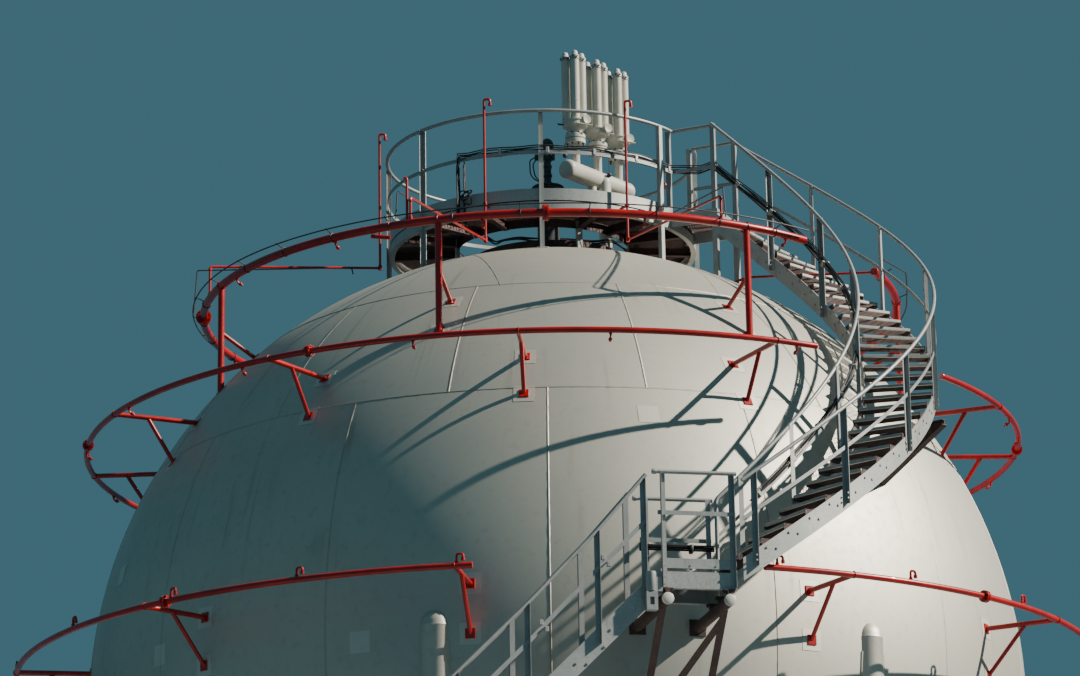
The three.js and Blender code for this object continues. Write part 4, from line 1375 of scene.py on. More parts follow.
def outletOutline():
    pipe, foot, weld = valve["pipe"], valve["bodyTop"], valve["seam"]
    collar, dome, top = valve["collar"], valve["dome"], valve["top"]
    outline = [
        (0, foot - 0.015), (pipe + 0.006, foot - 0.015),
        (pipe + 0.006, foot + 0.022), (pipe, foot + 0.026),
    ]
    outline += [
        (pipe, weld - 0.007), (pipe + 0.003, weld - 0.004),
        (pipe + 0.003, weld + 0.004), (pipe, weld + 0.007),
    ]
    outline += [
        (pipe, collar - 0.002), (pipe - 0.004, collar),
        (pipe - 0.004, dome - 0.02), (0.05, dome - 0.006),
    ]
    outline += [(0.045, dome), (0.042, dome + 0.02), (0.038, dome + 0.04), (0.028, dome + 0.053)]
    return outline + [(0.012, top), (0, top)]


for i, share in enumerate(header["stacks"]):
    at = onHeader(share)
    parts = [placed(spun(valveOutline(at.z + 0.04), 36), shift(at.x, at.y, 0))]
    parts += copied(
        spun(outletOutline(), 28), [shift(at.x + dx, at.y + dy, 0) for dx, dy in stackPipes]
    )
    thinRod = [(at.x - 0.052, at.y - 0.06, z) for z in (valve["bodyTop"], valve["collar"] + 0.02)]
    parts.append(tubes([thinRod], 0.008, 2))
    bodyZ = valve["body"]
    lever = [
        at + Vector((0.02, -0.16, bodyZ + 0.01 - at.z)),
        at + Vector((0.24, -0.12, bodyZ - 0.02 - at.z)),
    ]
    parts.append(tubes([lever], 0.013, 2))
    dressed(
        joined(parts), f"vent_stack_{i + 1}",
        ventCream, [f"relief_stack_{i + 1}"], 40,
    )

# Bolts, collars, dials and weights on the stacks
clampParts, discParts, weightParts, chainLines, allCollars = [], [], [], [], []
inside, outside = valve["pipe"] - 0.003, valve["pipe"] + 0.008
collar = [(inside, 0), (outside, 0), (outside, 0.05), (inside, 0.05), (inside, 0)]
for share in header["stacks"]:
    at = onHeader(share)
    base = Vector((at.x, at.y, 0))
    heads, under = [], []
    for k in range(8):
        a = 2 * math.pi * (k + 0.5) / 8
        out = Vector((math.cos(a), math.sin(a), 0)) * valve["flangeBolts"]
        under.append((base + out + upward * valve["flange"], -upward))
        heads.append((base + out + upward * (valve["flange"] + valve["flangeThick"]), upward))
    for k in range(6):
        a = 2 * math.pi * (k + 0.2) / 6
        x, y = at.x + valve["bodyBolts"] * math.cos(a), at.y + valve["bodyBolts"] * math.sin(a)
        heads.append((Vector((x, y, valve["bodyTop"])), upward))
    clampParts.append(bolts(under + heads, *valve["bolt"]))
    rings = [shift(at.x + dx, at.y + dy, valve["collar"] + 0.004) for dx, dy in stackPipes]
    allCollars += copied(spun(collar, 24), rings)
    lugs = []
    for dx, dy in stackPipes:
        middle = Vector((at.x + dx, at.y + dy, valve["collar"] + 0.03))
        for a in (200, 250, 300, 350):
            side = Vector((math.cos(math.radians(a)), math.sin(math.radians(a)), 0))
            lugs.append((middle + side * (valve["pipe"] + 0.004), side))
    clampParts.append(bolts(lugs, 0.011, 0.016))
    prong = at + Vector((-0.16, -0.03, valve["body"] + 0.03 - at.z))
    clampParts.append(tubes([[prong, prong + Vector((-0.075, -0.02, 0.006))]], 0.012, 1))
dressed(joined(clampParts), "stack_clamps", boltSteel)

dials = {
    "places": [(0.55, -1.1, 7.962), (0.844, -0.75, 7.953), (1.148, -0.35, 7.935)],
    "facing": (0.5, -0.86, -0.05),
}
face = [
    (0, -0.02), (0.052, -0.02), (0.062, -0.012), (0.062, 0.006),
    (0.058, 0.01), (0.052, 0.008), (0, 0.006),
]
for place, share in zip(dials["places"], header["stacks"]):
    at = onHeader(share)
    discParts.append(placed(spun(face, 32), aimed(place, dials["facing"])))
    behind = Vector(place) + Vector((-0.01, 0.02, 0))
    discParts.append(
        tubes([[behind, Vector((at.x + 0.1, at.y, valve["bodyTop"] - 0.03))]], 0.012, 2)
    )
dressed(joined(allCollars), "pipe_collars", zincLight, angle=40)
dressed(joined(discParts), "stack_dials", ventCream, angle=40)

weights = {
    "radius": 0.034,
    "hung": [((0.242, -1.05, 7.46), 7.63, 0.05), ((0.842, -0.68, 7.298), 7.6, -0.06)],
}
ball = [(0, -weights["radius"])]
for k in range(1, 8):
    a = -math.pi / 2 + math.pi * k / 8
    ball.append((weights["radius"] * math.cos(a), weights["radius"] * math.sin(a)))
ball.append((0, weights["radius"]))
for place, topOf, lean in weights["hung"]:
    p = Vector(place)
    weightParts.append(placed(spun(ball, 16), Matrix.Translation(p)))
    chainLines.append(
        [p, Vector((p.x, p.y, topOf)), Vector((p.x + lean, p.y + 0.03, topOf + 0.06))]
    )
dressed(
    joined(weightParts, tubes(chainLines, 0.005, 1)), "valve_weights", gaugeCasting,
    angle=50,
)
print("vents stacked")

# Level gauge on a tall nozzle: flanges, stem, head with arms, and looped signal cables
gauge = {
    "place": (0, -0.9),
    "boltRadius": 0.18,
    "arm": 0.03,
    "gland": 0.045,
    "window": 0.05,
    "signal": 0.009,
}
gaugeX, gaugeY = gauge["place"]
onGauge = shift(gaugeX, gaugeY, 0)
nozzle = [
    (0, 5.95), (0.15, 5.95), (0.15, 6.99), (0.205, 7.0), (0.218, 7.006), (0.218, 7.026),
    (0.19, 7.029), (0.19, 7.033), (0.218, 7.036), (0.218, 7.054), (0.21, 7.06), (0, 7.06),
]
head = [
    (0, 7.05), (0.12, 7.05), (0.11, 7.09), (0.06, 7.11), (0.05, 7.14), (0.05, 7.2),
    (0.062, 7.21), (0.062, 7.24), (0.05, 7.25), (0.05, 7.33), (0.06, 7.34), (0.06, 7.37),
    (0.048, 7.38), (0.048, 7.43), (0.066, 7.44), (0.066, 7.46), (0.05, 7.47), (0.05, 7.54),
    (0.085, 7.56), (0.088, 7.575), (0.088, 7.66), (0.084, 7.69), (0.074, 7.715), (0.058, 7.735),
    (0.035, 7.752), (0, 7.758),
]
arm, glandLeft, glandRight = (
    [(gaugeX + x, gaugeY, 7.49) for x in ends]
    for ends in ((-0.17, 0.1), (-0.172, -0.12), (0.06, 0.102))
)
window = [(gaugeX - 0.03, gaugeY - 0.08, 7.6), (gaugeX - 0.03, gaugeY - 0.1, 7.6)]
loopsDown = [
    rounded(
        [(-0.17, -0.9, 7.49), (-0.24, -0.91, 7.45), (-0.235, -0.93, 7.2), (-0.05, -0.95, 7.09)],
        0.12,
    ),
    rounded(
        [(-0.15, -0.88, 7.47), (-0.2, -0.88, 7.4), (-0.17, -0.89, 7.2), (-0.02, -0.9, 7.1)], 0.1
    ),
]
gaugePiece = joined(
    placed(spun(nozzle, 36), onGauge),
    boltCircle((gaugeX, gaugeY, 7.06), gauge["boltRadius"], 12, 0),
    placed(spun(head, 28), onGauge),
    tubes([arm], gauge["arm"], 5),
    tubes([glandLeft, glandRight], gauge["gland"], 5),
    tubes([window], gauge["window"], 5),
    tubes(loopsDown, gauge["signal"], 2),
)
dressed(gaugePiece, "level_gauge", gaugeCasting, ["gauge_valve"], 40)

# Manway: neck with a reinforcing ring, bolted lid, grab handle and a hinge
lid = {"place": (-0.56, 0.38), "top": 6.46, "boltRadius": 0.315, "handle": 0.012, "hinge": 0.022}
lidX, lidY = lid["place"]
neckRing = [
    (0, 5.95), (0.42, 5.95), (0.42, 6.115), (0.41, 6.12), (0.25, 6.13),
    (0.25, 6.325), (0.335, 6.33), (0.345, 6.338), (0.345, 6.386), (0.31, 6.39),
    (0.31, 6.4), (0.345, 6.404), (0.345, 6.452), (0.335, 6.46), (0, 6.46),
]
handle = rounded(
    [(lidX + x, lidY, z) for x, z in ((-0.09, 6.45), (-0.09, 6.52), (0.09, 6.52), (0.09, 6.45))],
    0.03,
)
hinge = [(lidX - 0.12, lidY + 0.36, 6.43), (lidX + 0.12, lidY + 0.36, 6.43)]
manwayPiece = joined(
    placed(spun(neckRing, 44), shift(lidX, lidY, 0)),
    boltCircle((lidX, lidY, lid["top"]), lid["boltRadius"], 20, 0, 0.015),
    tubes([handle], lid["handle"], 3),
    tubes([hinge], lid["hinge"], 3),
)
dressed(manwayPiece, "manway_lid", ventCream, ["manway"], 40)
print("gauge and manway set")

# Spiral stair: two curved stringers, grating treads between them, and handrails on angle posts
spiral = {
    "centre": (1.151, -3.999),
    "outer": 3.633,
    "inner": 2.761,
    "from": 16,
    "to": 157.1,
    "risers": 32,
    "firstTread": 17.1,
    "treadTurn": 4.56,
    "below": 0.268,
    "thick": 0.014,
    "landing": 0.19,
    "ties": [40, 78, 116, 150],
    "boltDrop": 0.106,
    "boltSpread": 0.062,
    "railLow": 0.905,
    "railHigh": 1.245,
    "pairedPosts": [38, 57.7, 75.8, 97, 118.8, 139],
    "postBelow": 0.19,
    "innerClearance": 0.0026,
    "steps": 96,
}
tread = {
    "depth": 0.24, "bars": 8, "nosing": 0.03, "nosingDeep": 0.035, "end": 0.07, "endThick": 0.006,
    "rodFrom": 0.06, "rodStep": 0.1,
}
spiralRise = (deck["height"] - spiral["landing"]) / spiral["risers"]


def spiralHeight(angle):
    return spiral["landing"] + spiralRise * (
        (angle - spiral["firstTread"]) / spiral["treadTurn"] + 1
    )


def spiralShare(angle):
    return (angle - spiral["from"]) / (spiral["to"] - spiral["from"])


def spiralLine(radius, lowLift=0.0, highLift=0.0):
    # a line along the stair, lifted over the treads by an amount that grows on the way up
    line = []
    for i in range(spiral["steps"] + 1):
        angle = spiral["from"] + (spiral["to"] - spiral["from"]) * i / spiral["steps"]
        lift = lowLift + (highLift - lowLift) * spiralShare(angle)
        line.append(around(angle, radius, spiralHeight(angle) + lift, spiral["centre"]))
    return line


def gratingTread(length):
    # bars along Y, the nosing at -X, the top at zero, the length from 0 to -length
    half, bars, front, plate = tread["depth"] / 2, tread["bars"], tread["nosing"], tread["endThick"]
    lines = []
    for k in range(bars):
        x = -half + front + (tread["depth"] - 0.036) * k / (bars - 1)
        lines.append([(x, -length, 0), (x, 0, 0)])
    rodsAcross = []
    y = -tread["rodFrom"]
    while y > -length:
        rodsAcross.append(
            [(-half + 0.01, y, -grid["rodDrop"]), (half - 0.004, y, -grid["rodDrop"])]
        )
        y -= tread["rodStep"]
    nosing = block(-half, -half + front, -length, 0, -tread["nosingDeep"], 0.0, 0.003)
    ends = [
        block(-half, half, y0, y0 + plate, -tread["end"], -0.002, 0.0) for y0 in (-length, -plate)
    ]
    return nosing, joined(*ends), gratingOf(lines, rodsAcross)


# One gusset bracket under the middle of the stair, from the shell out past the outer stringer; its
# dark finish is painted shade on its side turned from the light
gusset = {
    "azimuth": 44, "top": 2.6, "reach": 6.9, "root": 5.55, "low": 1.98, "thick": 0.012,
    "flange": 0.09,
}
onGusset = turn(gusset["azimuth"])
tipY, rootY, z, low = -gusset["reach"], -gusset["root"], gusset["top"], gusset["low"]
web = [(rootY, z), (tipY, z), (tipY, z - 0.05), (rootY - 0.28, low), (rootY, low)]
webPlate = prism([(z, y) for y, z in web], -gusset["thick"] / 2, gusset["thick"] / 2)
# drawn lying, stood up here
placed(webPlate, Matrix(((0, 0, 1, 0), (0, 1, 0, 0), (1, 0, 0, 0), (0, 0, 0, 1))))
topFlange = block(-gusset["flange"] / 2, gusset["flange"] / 2, tipY, rootY, z, z + 0.01)
slopeFlange = swept(
    [[(0, tipY, z - 0.05), (0, rootY - 0.28, low)]], bar(gusset["flange"], 0.01, -0.005)
)
dressed(
    placed(joined(webPlate, topFlange, slopeFlange), onGusset), "spiral_bracket",
    oxideAndShadeSteel,
)
width = spiral["outer"] - spiral["inner"] - spiral["thick"] - 0.002
nosing, treadEnds, treadBars = gratingTread(width)
treadFrames, heads = [], []
for i in range(1, spiral["risers"]):
    angle = spiral["firstTread"] + spiral["treadTurn"] * (i - 1)
    z = spiral["landing"] + spiralRise * i
    at = shift(*spiral["centre"], z) @ turn(angle)
    treadFrames.append(at @ shift(0, -spiral["inner"] - spiral["thick"] / 2 - 0.001, 0))
    for radius, side in ((spiral["outer"] + 0.007, 1), (spiral["inner"] - 0.007, -1)):
        for dx in (-spiral["boltSpread"], spiral["boltSpread"]):
            a = angle + math.degrees(dx / radius)
            place = around(a, radius, z - spiral["boltDrop"], spiral["centre"])
            heads.append((place, turn(a) @ Vector((0, -side, 0))))
stringers = fence(
    [spiralLine(spiral["outer"]), spiralLine(spiral["inner"])], -spiral["below"], 0,
    spiral["thick"],
)
tieFrames = []
for angle in spiral["ties"]:
    at = shift(*spiral["centre"], spiralHeight(angle) - 0.02) @ turn(angle)
    tieFrames.append(at @ shift(0, -spiral["inner"] - 0.008, 0))
tiePlates = copied(block(-0.04, 0.04, -width, 0, -0.2, -0.192, 0.0), tieFrames)
spiralFrame = joined(stringers, copied(nosing, treadFrames), tiePlates, bolts(heads, 0.015, 0.012))
dressed(spiralFrame, "spiral_stringers", zincLight, ["spiral_stair"])
treads = joined(copied(treadBars, treadFrames), copied(treadEnds, treadFrames))
# The treads are dark brown partly as oxide and partly as painted shade of their undersides.
dressed(treads, "spiral_treads", oxideAndShadeSteel)

for name, radius, side, clearance, firstPost in (
    ("outer", spiral["outer"], 1, seatGap, 18.3),
    ("inner", spiral["inner"], -1, spiral["innerClearance"], 22.5),
):
    away = radius + side * (spiral["thick"] / 2 + clearance + railing["standOff"])
    low, high = spiral["railLow"], spiral["railHigh"]
    tube = spiralLine(away, low, high)
    if name == "inner":  # the tube bends down to a foot at its lower end
        tube = rounded([tube[0] - upward * 0.86, *tube[:2]], 0.1) + tube[2:]
    parts = [tubes([tube], railing["tube"], 8), flatRail(spiralLine(away, low / 2, high / 2))]
    clips = []
    for angle in (firstPost, *spiral["pairedPosts"]):
        reach = low + (high - low) * spiralShare(angle)
        at = shift(*spiral["centre"], spiralHeight(angle)) @ turn(angle)
        frameAt = at @ shift(0, -away, 0) @ turn(180 if side > 0 else 0)
        parts.append(anglePost("rail", -spiral["postBelow"], reach, frameAt, side))
        for dz in (-0.13, -0.07):
            p = at @ Vector((0, -away - side * 0.02, dz))
            clips.append((p, turn(angle) @ Vector((0, -side, 0))))
    parts.append(bolts(clips, 0.012, 0.012))
    dressed(
        joined(parts), f"spiral_{name}_rail", zincRail, [f"spiral_{name}_handrail"]
    )
print("spiral stair hung")

# Landing at the equator: grating in a channel frame on two pipe brackets, with rails on angle posts
landing = {
    "azimuth": 12,
    "outer": 7.7,
    "inner": 6.85,
    "left": -0.4,
    "right": 0.486,
    "height": 0.19,
    "foot": -0.018,
    "pipe": 0.067,
    "channel": 0.07,
    "channelThick": 0.009,
    "braceDrop": 1.5,
    "braceIn": 1.55,
    "front": {"top": 1.335, "flat": 0.665, "beyond": 0.06},
    "back": {"top": 1.241, "flat": 0.56, "beyond": 0.08},
}
onLanding = turn(landing["azimuth"])


def rectangleGrating(x0, x1, y0, y1, z):
    barLines, rodLines = [], []
    count = int((y1 - y0) / grid["pitch"])
    for k in range(count + 1):
        y = y0 + (y1 - y0) * k / count
        barLines.append([(x0, y, z), (x1, y, z)])
    count = int((x1 - x0) / grid["rodPitch"])
    zRod = z - grid["rodDrop"]
    for k in range(count + 1):
        x = x0 + 0.02 + (x1 - x0 - 0.04) * k / count
        rodLines.append([(x, y0, zRod), (x, y1, zRod)])
    return gratingOf(barLines, rodLines)


def channelAlong(x0, x1, y, z0, z1, facing):
    # a U-shaped edge beam along X with its back at y and its flanges on the facing side
    thick = landing["channelThick"]
    flange, web = y + landing["channel"] * facing, y + thick * facing
    outline = [
        (y, z0), (flange, z0), (flange, z0 + thick), (web, z0 + thick),
        (web, z1 - thick), (flange, z1 - thick), (flange, z1), (y, z1),
    ]
    # the section is drawn in XY and turned to lie in YZ, its length along X
    axes = Matrix(((0, 0, 1), (1, 0, 0), (0, 1, 0))).to_4x4()
    return placed(prism(outline, x0, x1), axes)


deckZ = landing["height"]
frontY, backY = -landing["outer"], -landing["inner"]
leftX, rightX, footZ = landing["left"], landing["right"], landing["foot"]
landingParts = [
    channelAlong(leftX, rightX, frontY, footZ, deckZ - 0.015, 1),
    channelAlong(leftX, rightX, backY, footZ, deckZ - 0.002, -1),
    block(leftX, rightX, frontY, frontY + 0.008, deckZ + 0.024, deckZ + 0.14, 0.001),
    block(leftX, leftX + 0.008, frontY + 0.08, backY - 0.08, footZ + 0.02, deckZ - 0.03, 0.001),
    block(rightX - 0.008, rightX, frontY + 0.08, backY - 0.08, footZ + 0.02, deckZ - 0.03, 0.001),
    block(0.0, 0.05, frontY + 0.02, backY - 0.02, deckZ - 0.1, deckZ - 0.04, 0.001),
]
toeBolts = []
for x in (leftX + 0.05, -0.05, 0.25, rightX - 0.05):
    toeBolts.append(((x, frontY, deckZ + 0.06), (0, -1, 0)))
    landingParts.append(
        block(x - 0.02, x + 0.02, frontY + 0.008, frontY + 0.014, deckZ - 0.06, deckZ + 0.1, 0)
    )
landingParts.append(bolts(toeBolts, 0.009, 0.008))
landingFrame = placed(joined(landingParts), onLanding)
dressed(landingFrame, "landing_frame", zincLight, ["landing_deck"])
landingGrid = rectangleGrating(leftX + 0.01, rightX - 0.01, frontY + 0.012, backY - 0.012, deckZ)
# The grating is dark brown partly as oxide and partly as painted shade of its underside.
dressed(placed(landingGrid, onLanding), "landing_grating", oxideAndShadeSteel)

# Pipe brackets under the landing, each with a cap, saddles, and an angle brace down to the shell.
# Arms, braces and saddles are painted dark as the shade under the landing.
armZ = footZ - 0.1263
armX = {"left": leftX + landing["pipe"] + 0.0005, "right": rightX - 0.09}
saddles, caps = [], []


def onBrace(x, share):
    # a place along the slope of the brace, from under the arm to the shell
    return Vector(
        (x, frontY + 0.25 + landing["braceIn"] * share, armZ - landing["braceDrop"] * share)
    )


def onWall(x, z):
    # a place on the shell, in the landing's frame
    return Vector((x, -math.sqrt(shell["radius"] ** 2 - x * x - z * z), z))


def angleBrace(start, end):
    # an angle with one flat side facing out and down
    along = (end - start).normalized()
    across = Vector((0, -0.7, -0.72)).cross(along).normalized()
    axes = Matrix((across, along.cross(across), along)).transposed().to_4x4()
    return anglePost("brace", 0, (end - start).length, Matrix.Translation(start) @ axes @ turn(180))


pipe = landing["pipe"]
for name, x in armX.items():
    parts = [tubes([[(x, frontY - 0.035, armZ), (x, -6.1, armZ)]], pipe, 7)]
    capLine = [
        (0, 0), (pipe - 0.004, 0), (pipe + 0.002, -0.005), (pipe + 0.002, -0.035), (0, -0.035),
    ]
    caps.append(placed(spun(capLine, 32), aimed((x, frontY - 0.04, armZ), (0, -1, 0))))
    for y in (frontY + 0.02, -7.3, backY - 0.05):
        saddles.append(
            block(x - pipe, x + pipe, y - 0.05, y + 0.05, footZ - 0.0165, footZ - 0.0005, 0.002)
        )
        saddles.append(
            block(x - 0.03, x + 0.03, y - 0.05, y + 0.05, armZ + 0.055, footZ - 0.01, 0.002)
        )
        spots = [
            Vector((x + dx, y + dy, footZ - 0.016)) for dx in (0.05, -0.05) for dy in (-0.03, 0.03)
        ]
        saddles.append(bolts([(spot, -upward) for spot in spots], 0.009, 0.02))
    parts.append(angleBrace(onBrace(x, 0.02), onBrace(x, 0.95)))
    if name == "right":
        parts.append(angleBrace(onBrace(x, 0.08), onBrace(armX["left"], 0.84)))
    armFoot, braceFoot = squareOn(onWall(x, armZ)), squareOn(onWall(x, armZ - 1.42))
    parts.append(placed(pad(0.1, -0.01, 0.012, 0.004), armFoot))
    for ear in (-0.07, 0.07):
        parts.append(
            placed(block(ear - 0.012, ear + 0.012, -0.03, 0.03, 0.0, 0.09, 0.003), armFoot)
        )
    parts.append(placed(pad(0.08, -0.01, 0.012, 0.004), braceFoot))
    arm = placed(joined(parts), onLanding)
    # Arm and braces in the dark steel: painted shade under the landing.
    dressed(arm, f"landing_arm_{name}", oxideAndShadeSteel, [f"landing_bracket_{name}"], 40)
dressed(placed(joined(caps), onLanding), "bracket_caps", ventCream, angle=40)
# Saddles in the dark steel: painted shade under the landing.
dressed(placed(joined(saddles), onLanding), "bracket_saddles", oxideAndShadeSteel)

# A short upright tube beside the landing, on a bracket with a hole
stub = [(0, -0.08), (0.058, -0.08), (0.061, -0.075), (0.061, 0.145), (0.056, 0.15), (0, 0.15)]
stubAt = (-0.535, -7.76)
hookPlate = prism([(-0.066, -0.05), (0.066, -0.05), (0.066, 0.05), (-0.066, 0.05)], -0.3, -0.085)
hole = block(-0.025, 0.025, -0.08, 0.0, -0.24, -0.15, 0)
carve = hookPlate.modifiers.new("hole", "BOOLEAN")
carve.object = hole
carve.operation = "DIFFERENCE"
only(hookPlate)
bpy.ops.object.modifier_apply(modifier="hole")
bpy.data.objects.remove(hole)
stubParts = [
    placed(joined(spun(stub, 28), hookPlate), shift(*stubAt, 0)),
    block(stubAt[0] + 0.03, leftX + 0.005, stubAt[1] + 0.02, stubAt[1] + 0.035, -0.07, 0.1, 0.003),
]
dressed(placed(joined(stubParts), onLanding), "landing_stub", zincRail, angle=40)


def landingRail(y, side, right, heights):
    # each pair of posts turns its outward legs to the two ends
    middle = y + side * (railing["standOff"] + seatGap)
    z = heights["top"]
    flat = deckZ + heights["flat"]
    left = leftX - heights["beyond"]
    knob = spun([(0, -0.03), (0.029, -0.026), (0.033, 0), (0.029, 0.026), (0, 0.03)], 20)
    parts = [
        tubes([[(left, middle, z), (right + 0.02, middle, z)]], railing["tube"], 5),
        flatRail([(leftX - 0.03, middle, flat), (right, middle, flat)]),
        placed(knob, aimed((left, middle, z), (1, 0, 0))),
    ]
    for x, hand in ((leftX + 0.04, -1), (right - 0.04, 1)):
        frameAt = shift(x, middle, 0) @ turn(180 if side < 0 else 0)
        parts.append(anglePost("rail", footZ + 0.01, z, frameAt, hand * -side))
        heads = [((x, middle - side * 0.024, footZ + dz), (0, side, 0)) for dz in (0.05, 0.13)]
        parts.append(bolts(heads, 0.011, 0.012))
    return placed(joined(parts), onLanding)


frontRail = landingRail(frontY, -1, rightX, landing["front"])
dressed(frontRail, "landing_front_rail", zincRail, ["landing_outer_handrail"])
backRail = landingRail(backY, 1, rightX - 0.06, landing["back"])
dressed(backRail, "landing_back_rail", zincRail, ["landing_inner_handrail"])
print("landing bracketed")

# Straight flights to the ground with a halfway landing, in the landing's frame
flight = {
    "upperRisers": 25,
    "lowerRisers": 26,
    "going": 0.204,
    "width": 0.85,
    "halfway": 1.0,
    "above": 0.04,
    "below": 0.279,
    "thick": 0.014,
    "boltDrop": 0.106,
    "boltSpread": 0.0645,
    "posts": [0.194, 0.742, 1.562, 2.382, 3.202, 4.022, 4.842],
}
straightRise = (deckZ - groundLevel) / (flight["upperRisers"] + flight["lowerRisers"])
straightSlope = straightRise / flight["going"]
flightOuter = frontY + 0.01
flightInner = flightOuter + flight["width"]
halfHeight = deckZ - straightRise * flight["upperRisers"]
upperRight = leftX - seatGap
upperLeft = upperRight - flight["going"] * flight["upperRisers"]
lowerRight = upperLeft - flight["halfway"]
upright90 = Matrix.Rotation(math.pi / 2, 4, "X")
upperRail = {
    "offsets": [0.16, 0.742, 1.562, 2.382],
    "top": [1.262, 1.156, 1.091, 1.084],
    "flat": [0.728, 0.709, 0.64, 0.632],
    "clips": [0.65, 1.38, 3.1],
}
lowerRail = {"offsets": [0.16], "top": [1.084], "flat": [0.632], "clips": [1.2, 3.0]}


def sidePlate(right, top, risers, y):
    # a stringer, cut off level where it would run into the ground
    left = right - flight["going"] * risers
    above, below = flight["above"], flight["below"]

    def line(x, lift):
        return top + straightSlope * (x - right) + lift

    outline = [(right, line(right, above)), (left, max(groundLevel, line(left, above)))]
    if line(left, -below) < groundLevel:
        outline += [
            (left, groundLevel), (right + (groundLevel - top + below) / straightSlope, groundLevel),
        ]
    else:
        outline.append((left, line(left, -below)))
    outline.append((right, line(right, -below)))
    return placed(prism(outline, -y - flight["thick"], -y), upright90)


nosing, treadEnds, treadBars = gratingTread(flight["width"] - 0.03)
treadFrames = []
for name, right, top, risers in (
    ("upper", upperRight, deckZ, flight["upperRisers"]),
    ("lower", lowerRight, halfHeight, flight["lowerRisers"]),
):
    frames, heads = [], []
    for i in range(1, risers):
        x = right - flight["going"] * (i - 0.5) - 0.02
        z = top - straightRise * i
        frames.append(onLanding @ shift(x, flightInner - 0.015, z))
        for y, side in ((flightOuter, -1), (flightInner, 1)):
            for dx in (-flight["boltSpread"], flight["boltSpread"]):
                place = onLanding @ Vector((x + dx, y, z - flight["boltDrop"]))
                heads.append((place, onLanding @ Vector((0, side, 0))))
    parts = [sidePlate(right, top, risers, y) for y in (flightOuter, flightInner - flight["thick"])]
    for plate in parts:
        placed(plate, onLanding)
    parts += [bolts(heads, 0.015, 0.012), *twins(nosing, frames)]
    dressed(joined(parts), f"{name}_stringers", zincLight, [f"{name}_flight"])
    treadFrames += frames
bpy.data.objects.remove(nosing)
treads = joined(copied(treadBars, treadFrames), copied(treadEnds, treadFrames))
# The treads are dark brown partly as oxide and partly as painted shade of their undersides.
dressed(treads, "flight_treads", oxideAndShadeSteel)


def railHeights(heights, offsets, offset):
    # the rail's lift over the line of treads, read between its corners
    last = len(heights) - 1
    if offset <= offsets[0]:
        return heights[0]
    k = next(i for i, value in enumerate(offsets) if value >= offset)
    share = (offset - offsets[k - 1]) / (offsets[k] - offsets[k - 1])
    return heights[min(k - 1, last)] * (1 - share) + heights[min(k, last)] * share


def flightRail(right, top, risers, y, side, heights):
    middle = y + side * (railing["standOff"] + seatGap)
    offsets = [*heights["offsets"], flight["going"] * risers - 0.2]

    def place(offset, key):
        z = top - straightSlope * offset + railHeights(heights[key], offsets, offset)
        return (right - offset, middle, z)

    parts = [
        tubes([rounded([place(offset, "top") for offset in offsets], 0.08)], railing["tube"], 5),
        flatRail([place(offset, "flat") for offset in offsets], 0.035),
    ]
    heads = []
    for offset in flight["posts"]:
        x, _, high = place(offset, "top")
        low = top - straightSlope * offset - 0.15
        parts.append(
            anglePost("rail", low, high, shift(x, middle, 0) @ turn(180 if side < 0 else 0))
        )
        heads += [((x, middle - side * 0.024, low + dz), (0, side, 0)) for dz in (0.035, 0.11)]
    parts.append(bolts(heads, 0.011, 0.012))
    for offset in heights["clips"] if side < 0 else ():
        at = Vector(place(offset, "flat"))
        for dx, dz in ((-0.03, 0.04), (0.035, -0.035)):
            clip = pad(0.022, -0.03, 0.03, 0.004)
            parts.append(placed(clip, Matrix.Translation(at + Vector((dx, side * 0.012, dz)))))
    return placed(joined(parts), onLanding)


for name, right, top, risers, heights in (
    ("upper", upperRight, deckZ, flight["upperRisers"], upperRail),
    ("lower", lowerRight, halfHeight, flight["lowerRisers"], lowerRail),
):
    for which, y, side in (("outer", flightOuter, -1), ("inner", flightInner, 1)):
        dressed(
            flightRail(right, top, risers, y, side, heights),
            f"{name}_{which}_rail_bars", zincRail, [f"{name}_flight_{which}_rail"],
        )
print("flights hung")

# Halfway landing on four posts, tied low and high, with a rail on its outer side
half = {
    "left": lowerRight + seatGap,
    "right": upperLeft - seatGap,
    "inset": 0.06,
    "lowTie": 0.6,
    "highTie": 0.7,
    "post": 0.05,
    "foot": 0.11,
    "footThick": 0.025,
    "anchor": 0.08,
    "railTop": 1.1,
    "railFlat": 0.565,
}
x0, x1 = half["left"], half["right"]
y0, y1 = flightOuter, flightInner
xs = (x0 + half["inset"], x1 - half["inset"])
ys = (y0 + half["inset"], y1 - half["inset"])
lowTie = groundLevel + half["lowTie"]
highTie = halfHeight - half["highTie"]
halfParts = [
    channelAlong(x0, x1, y0, halfHeight - 0.2, halfHeight - 0.004, 1),
    channelAlong(x0, x1, y1, halfHeight - 0.2, halfHeight - 0.004, -1),
    block(x0, x0 + 0.01, y0 + 0.01, y1 - 0.01, halfHeight - 0.2, halfHeight - 0.005, 0.001),
    block(x1 - 0.01, x1, y0 + 0.01, y1 - 0.01, halfHeight - 0.2, halfHeight - 0.005, 0.001),
]
anchors = []
post, wide, footTop = half["post"], half["foot"], groundLevel + half["footThick"]
for x, y in [(x, y) for x in xs for y in ys]:
    halfParts.append(
        block(x - post, x + post, y - post, y + post, groundLevel + 0.02, halfHeight - 0.1, 0.008)
    )
    halfParts.append(block(x - wide, x + wide, y - wide, y + wide, groundLevel, footTop, 0.004))
    for dx in (-half["anchor"], half["anchor"]):
        for dy in (-half["anchor"], half["anchor"]):
            anchors.append(((x + dx, y + dy, footTop), upward))
for x in xs:
    for z in (lowTie, highTie):
        halfParts.append(block(x - 0.03, x + 0.03, ys[0] + 0.05, ys[1] - 0.05, z - 0.06, z, 0.004))
diagonals = []
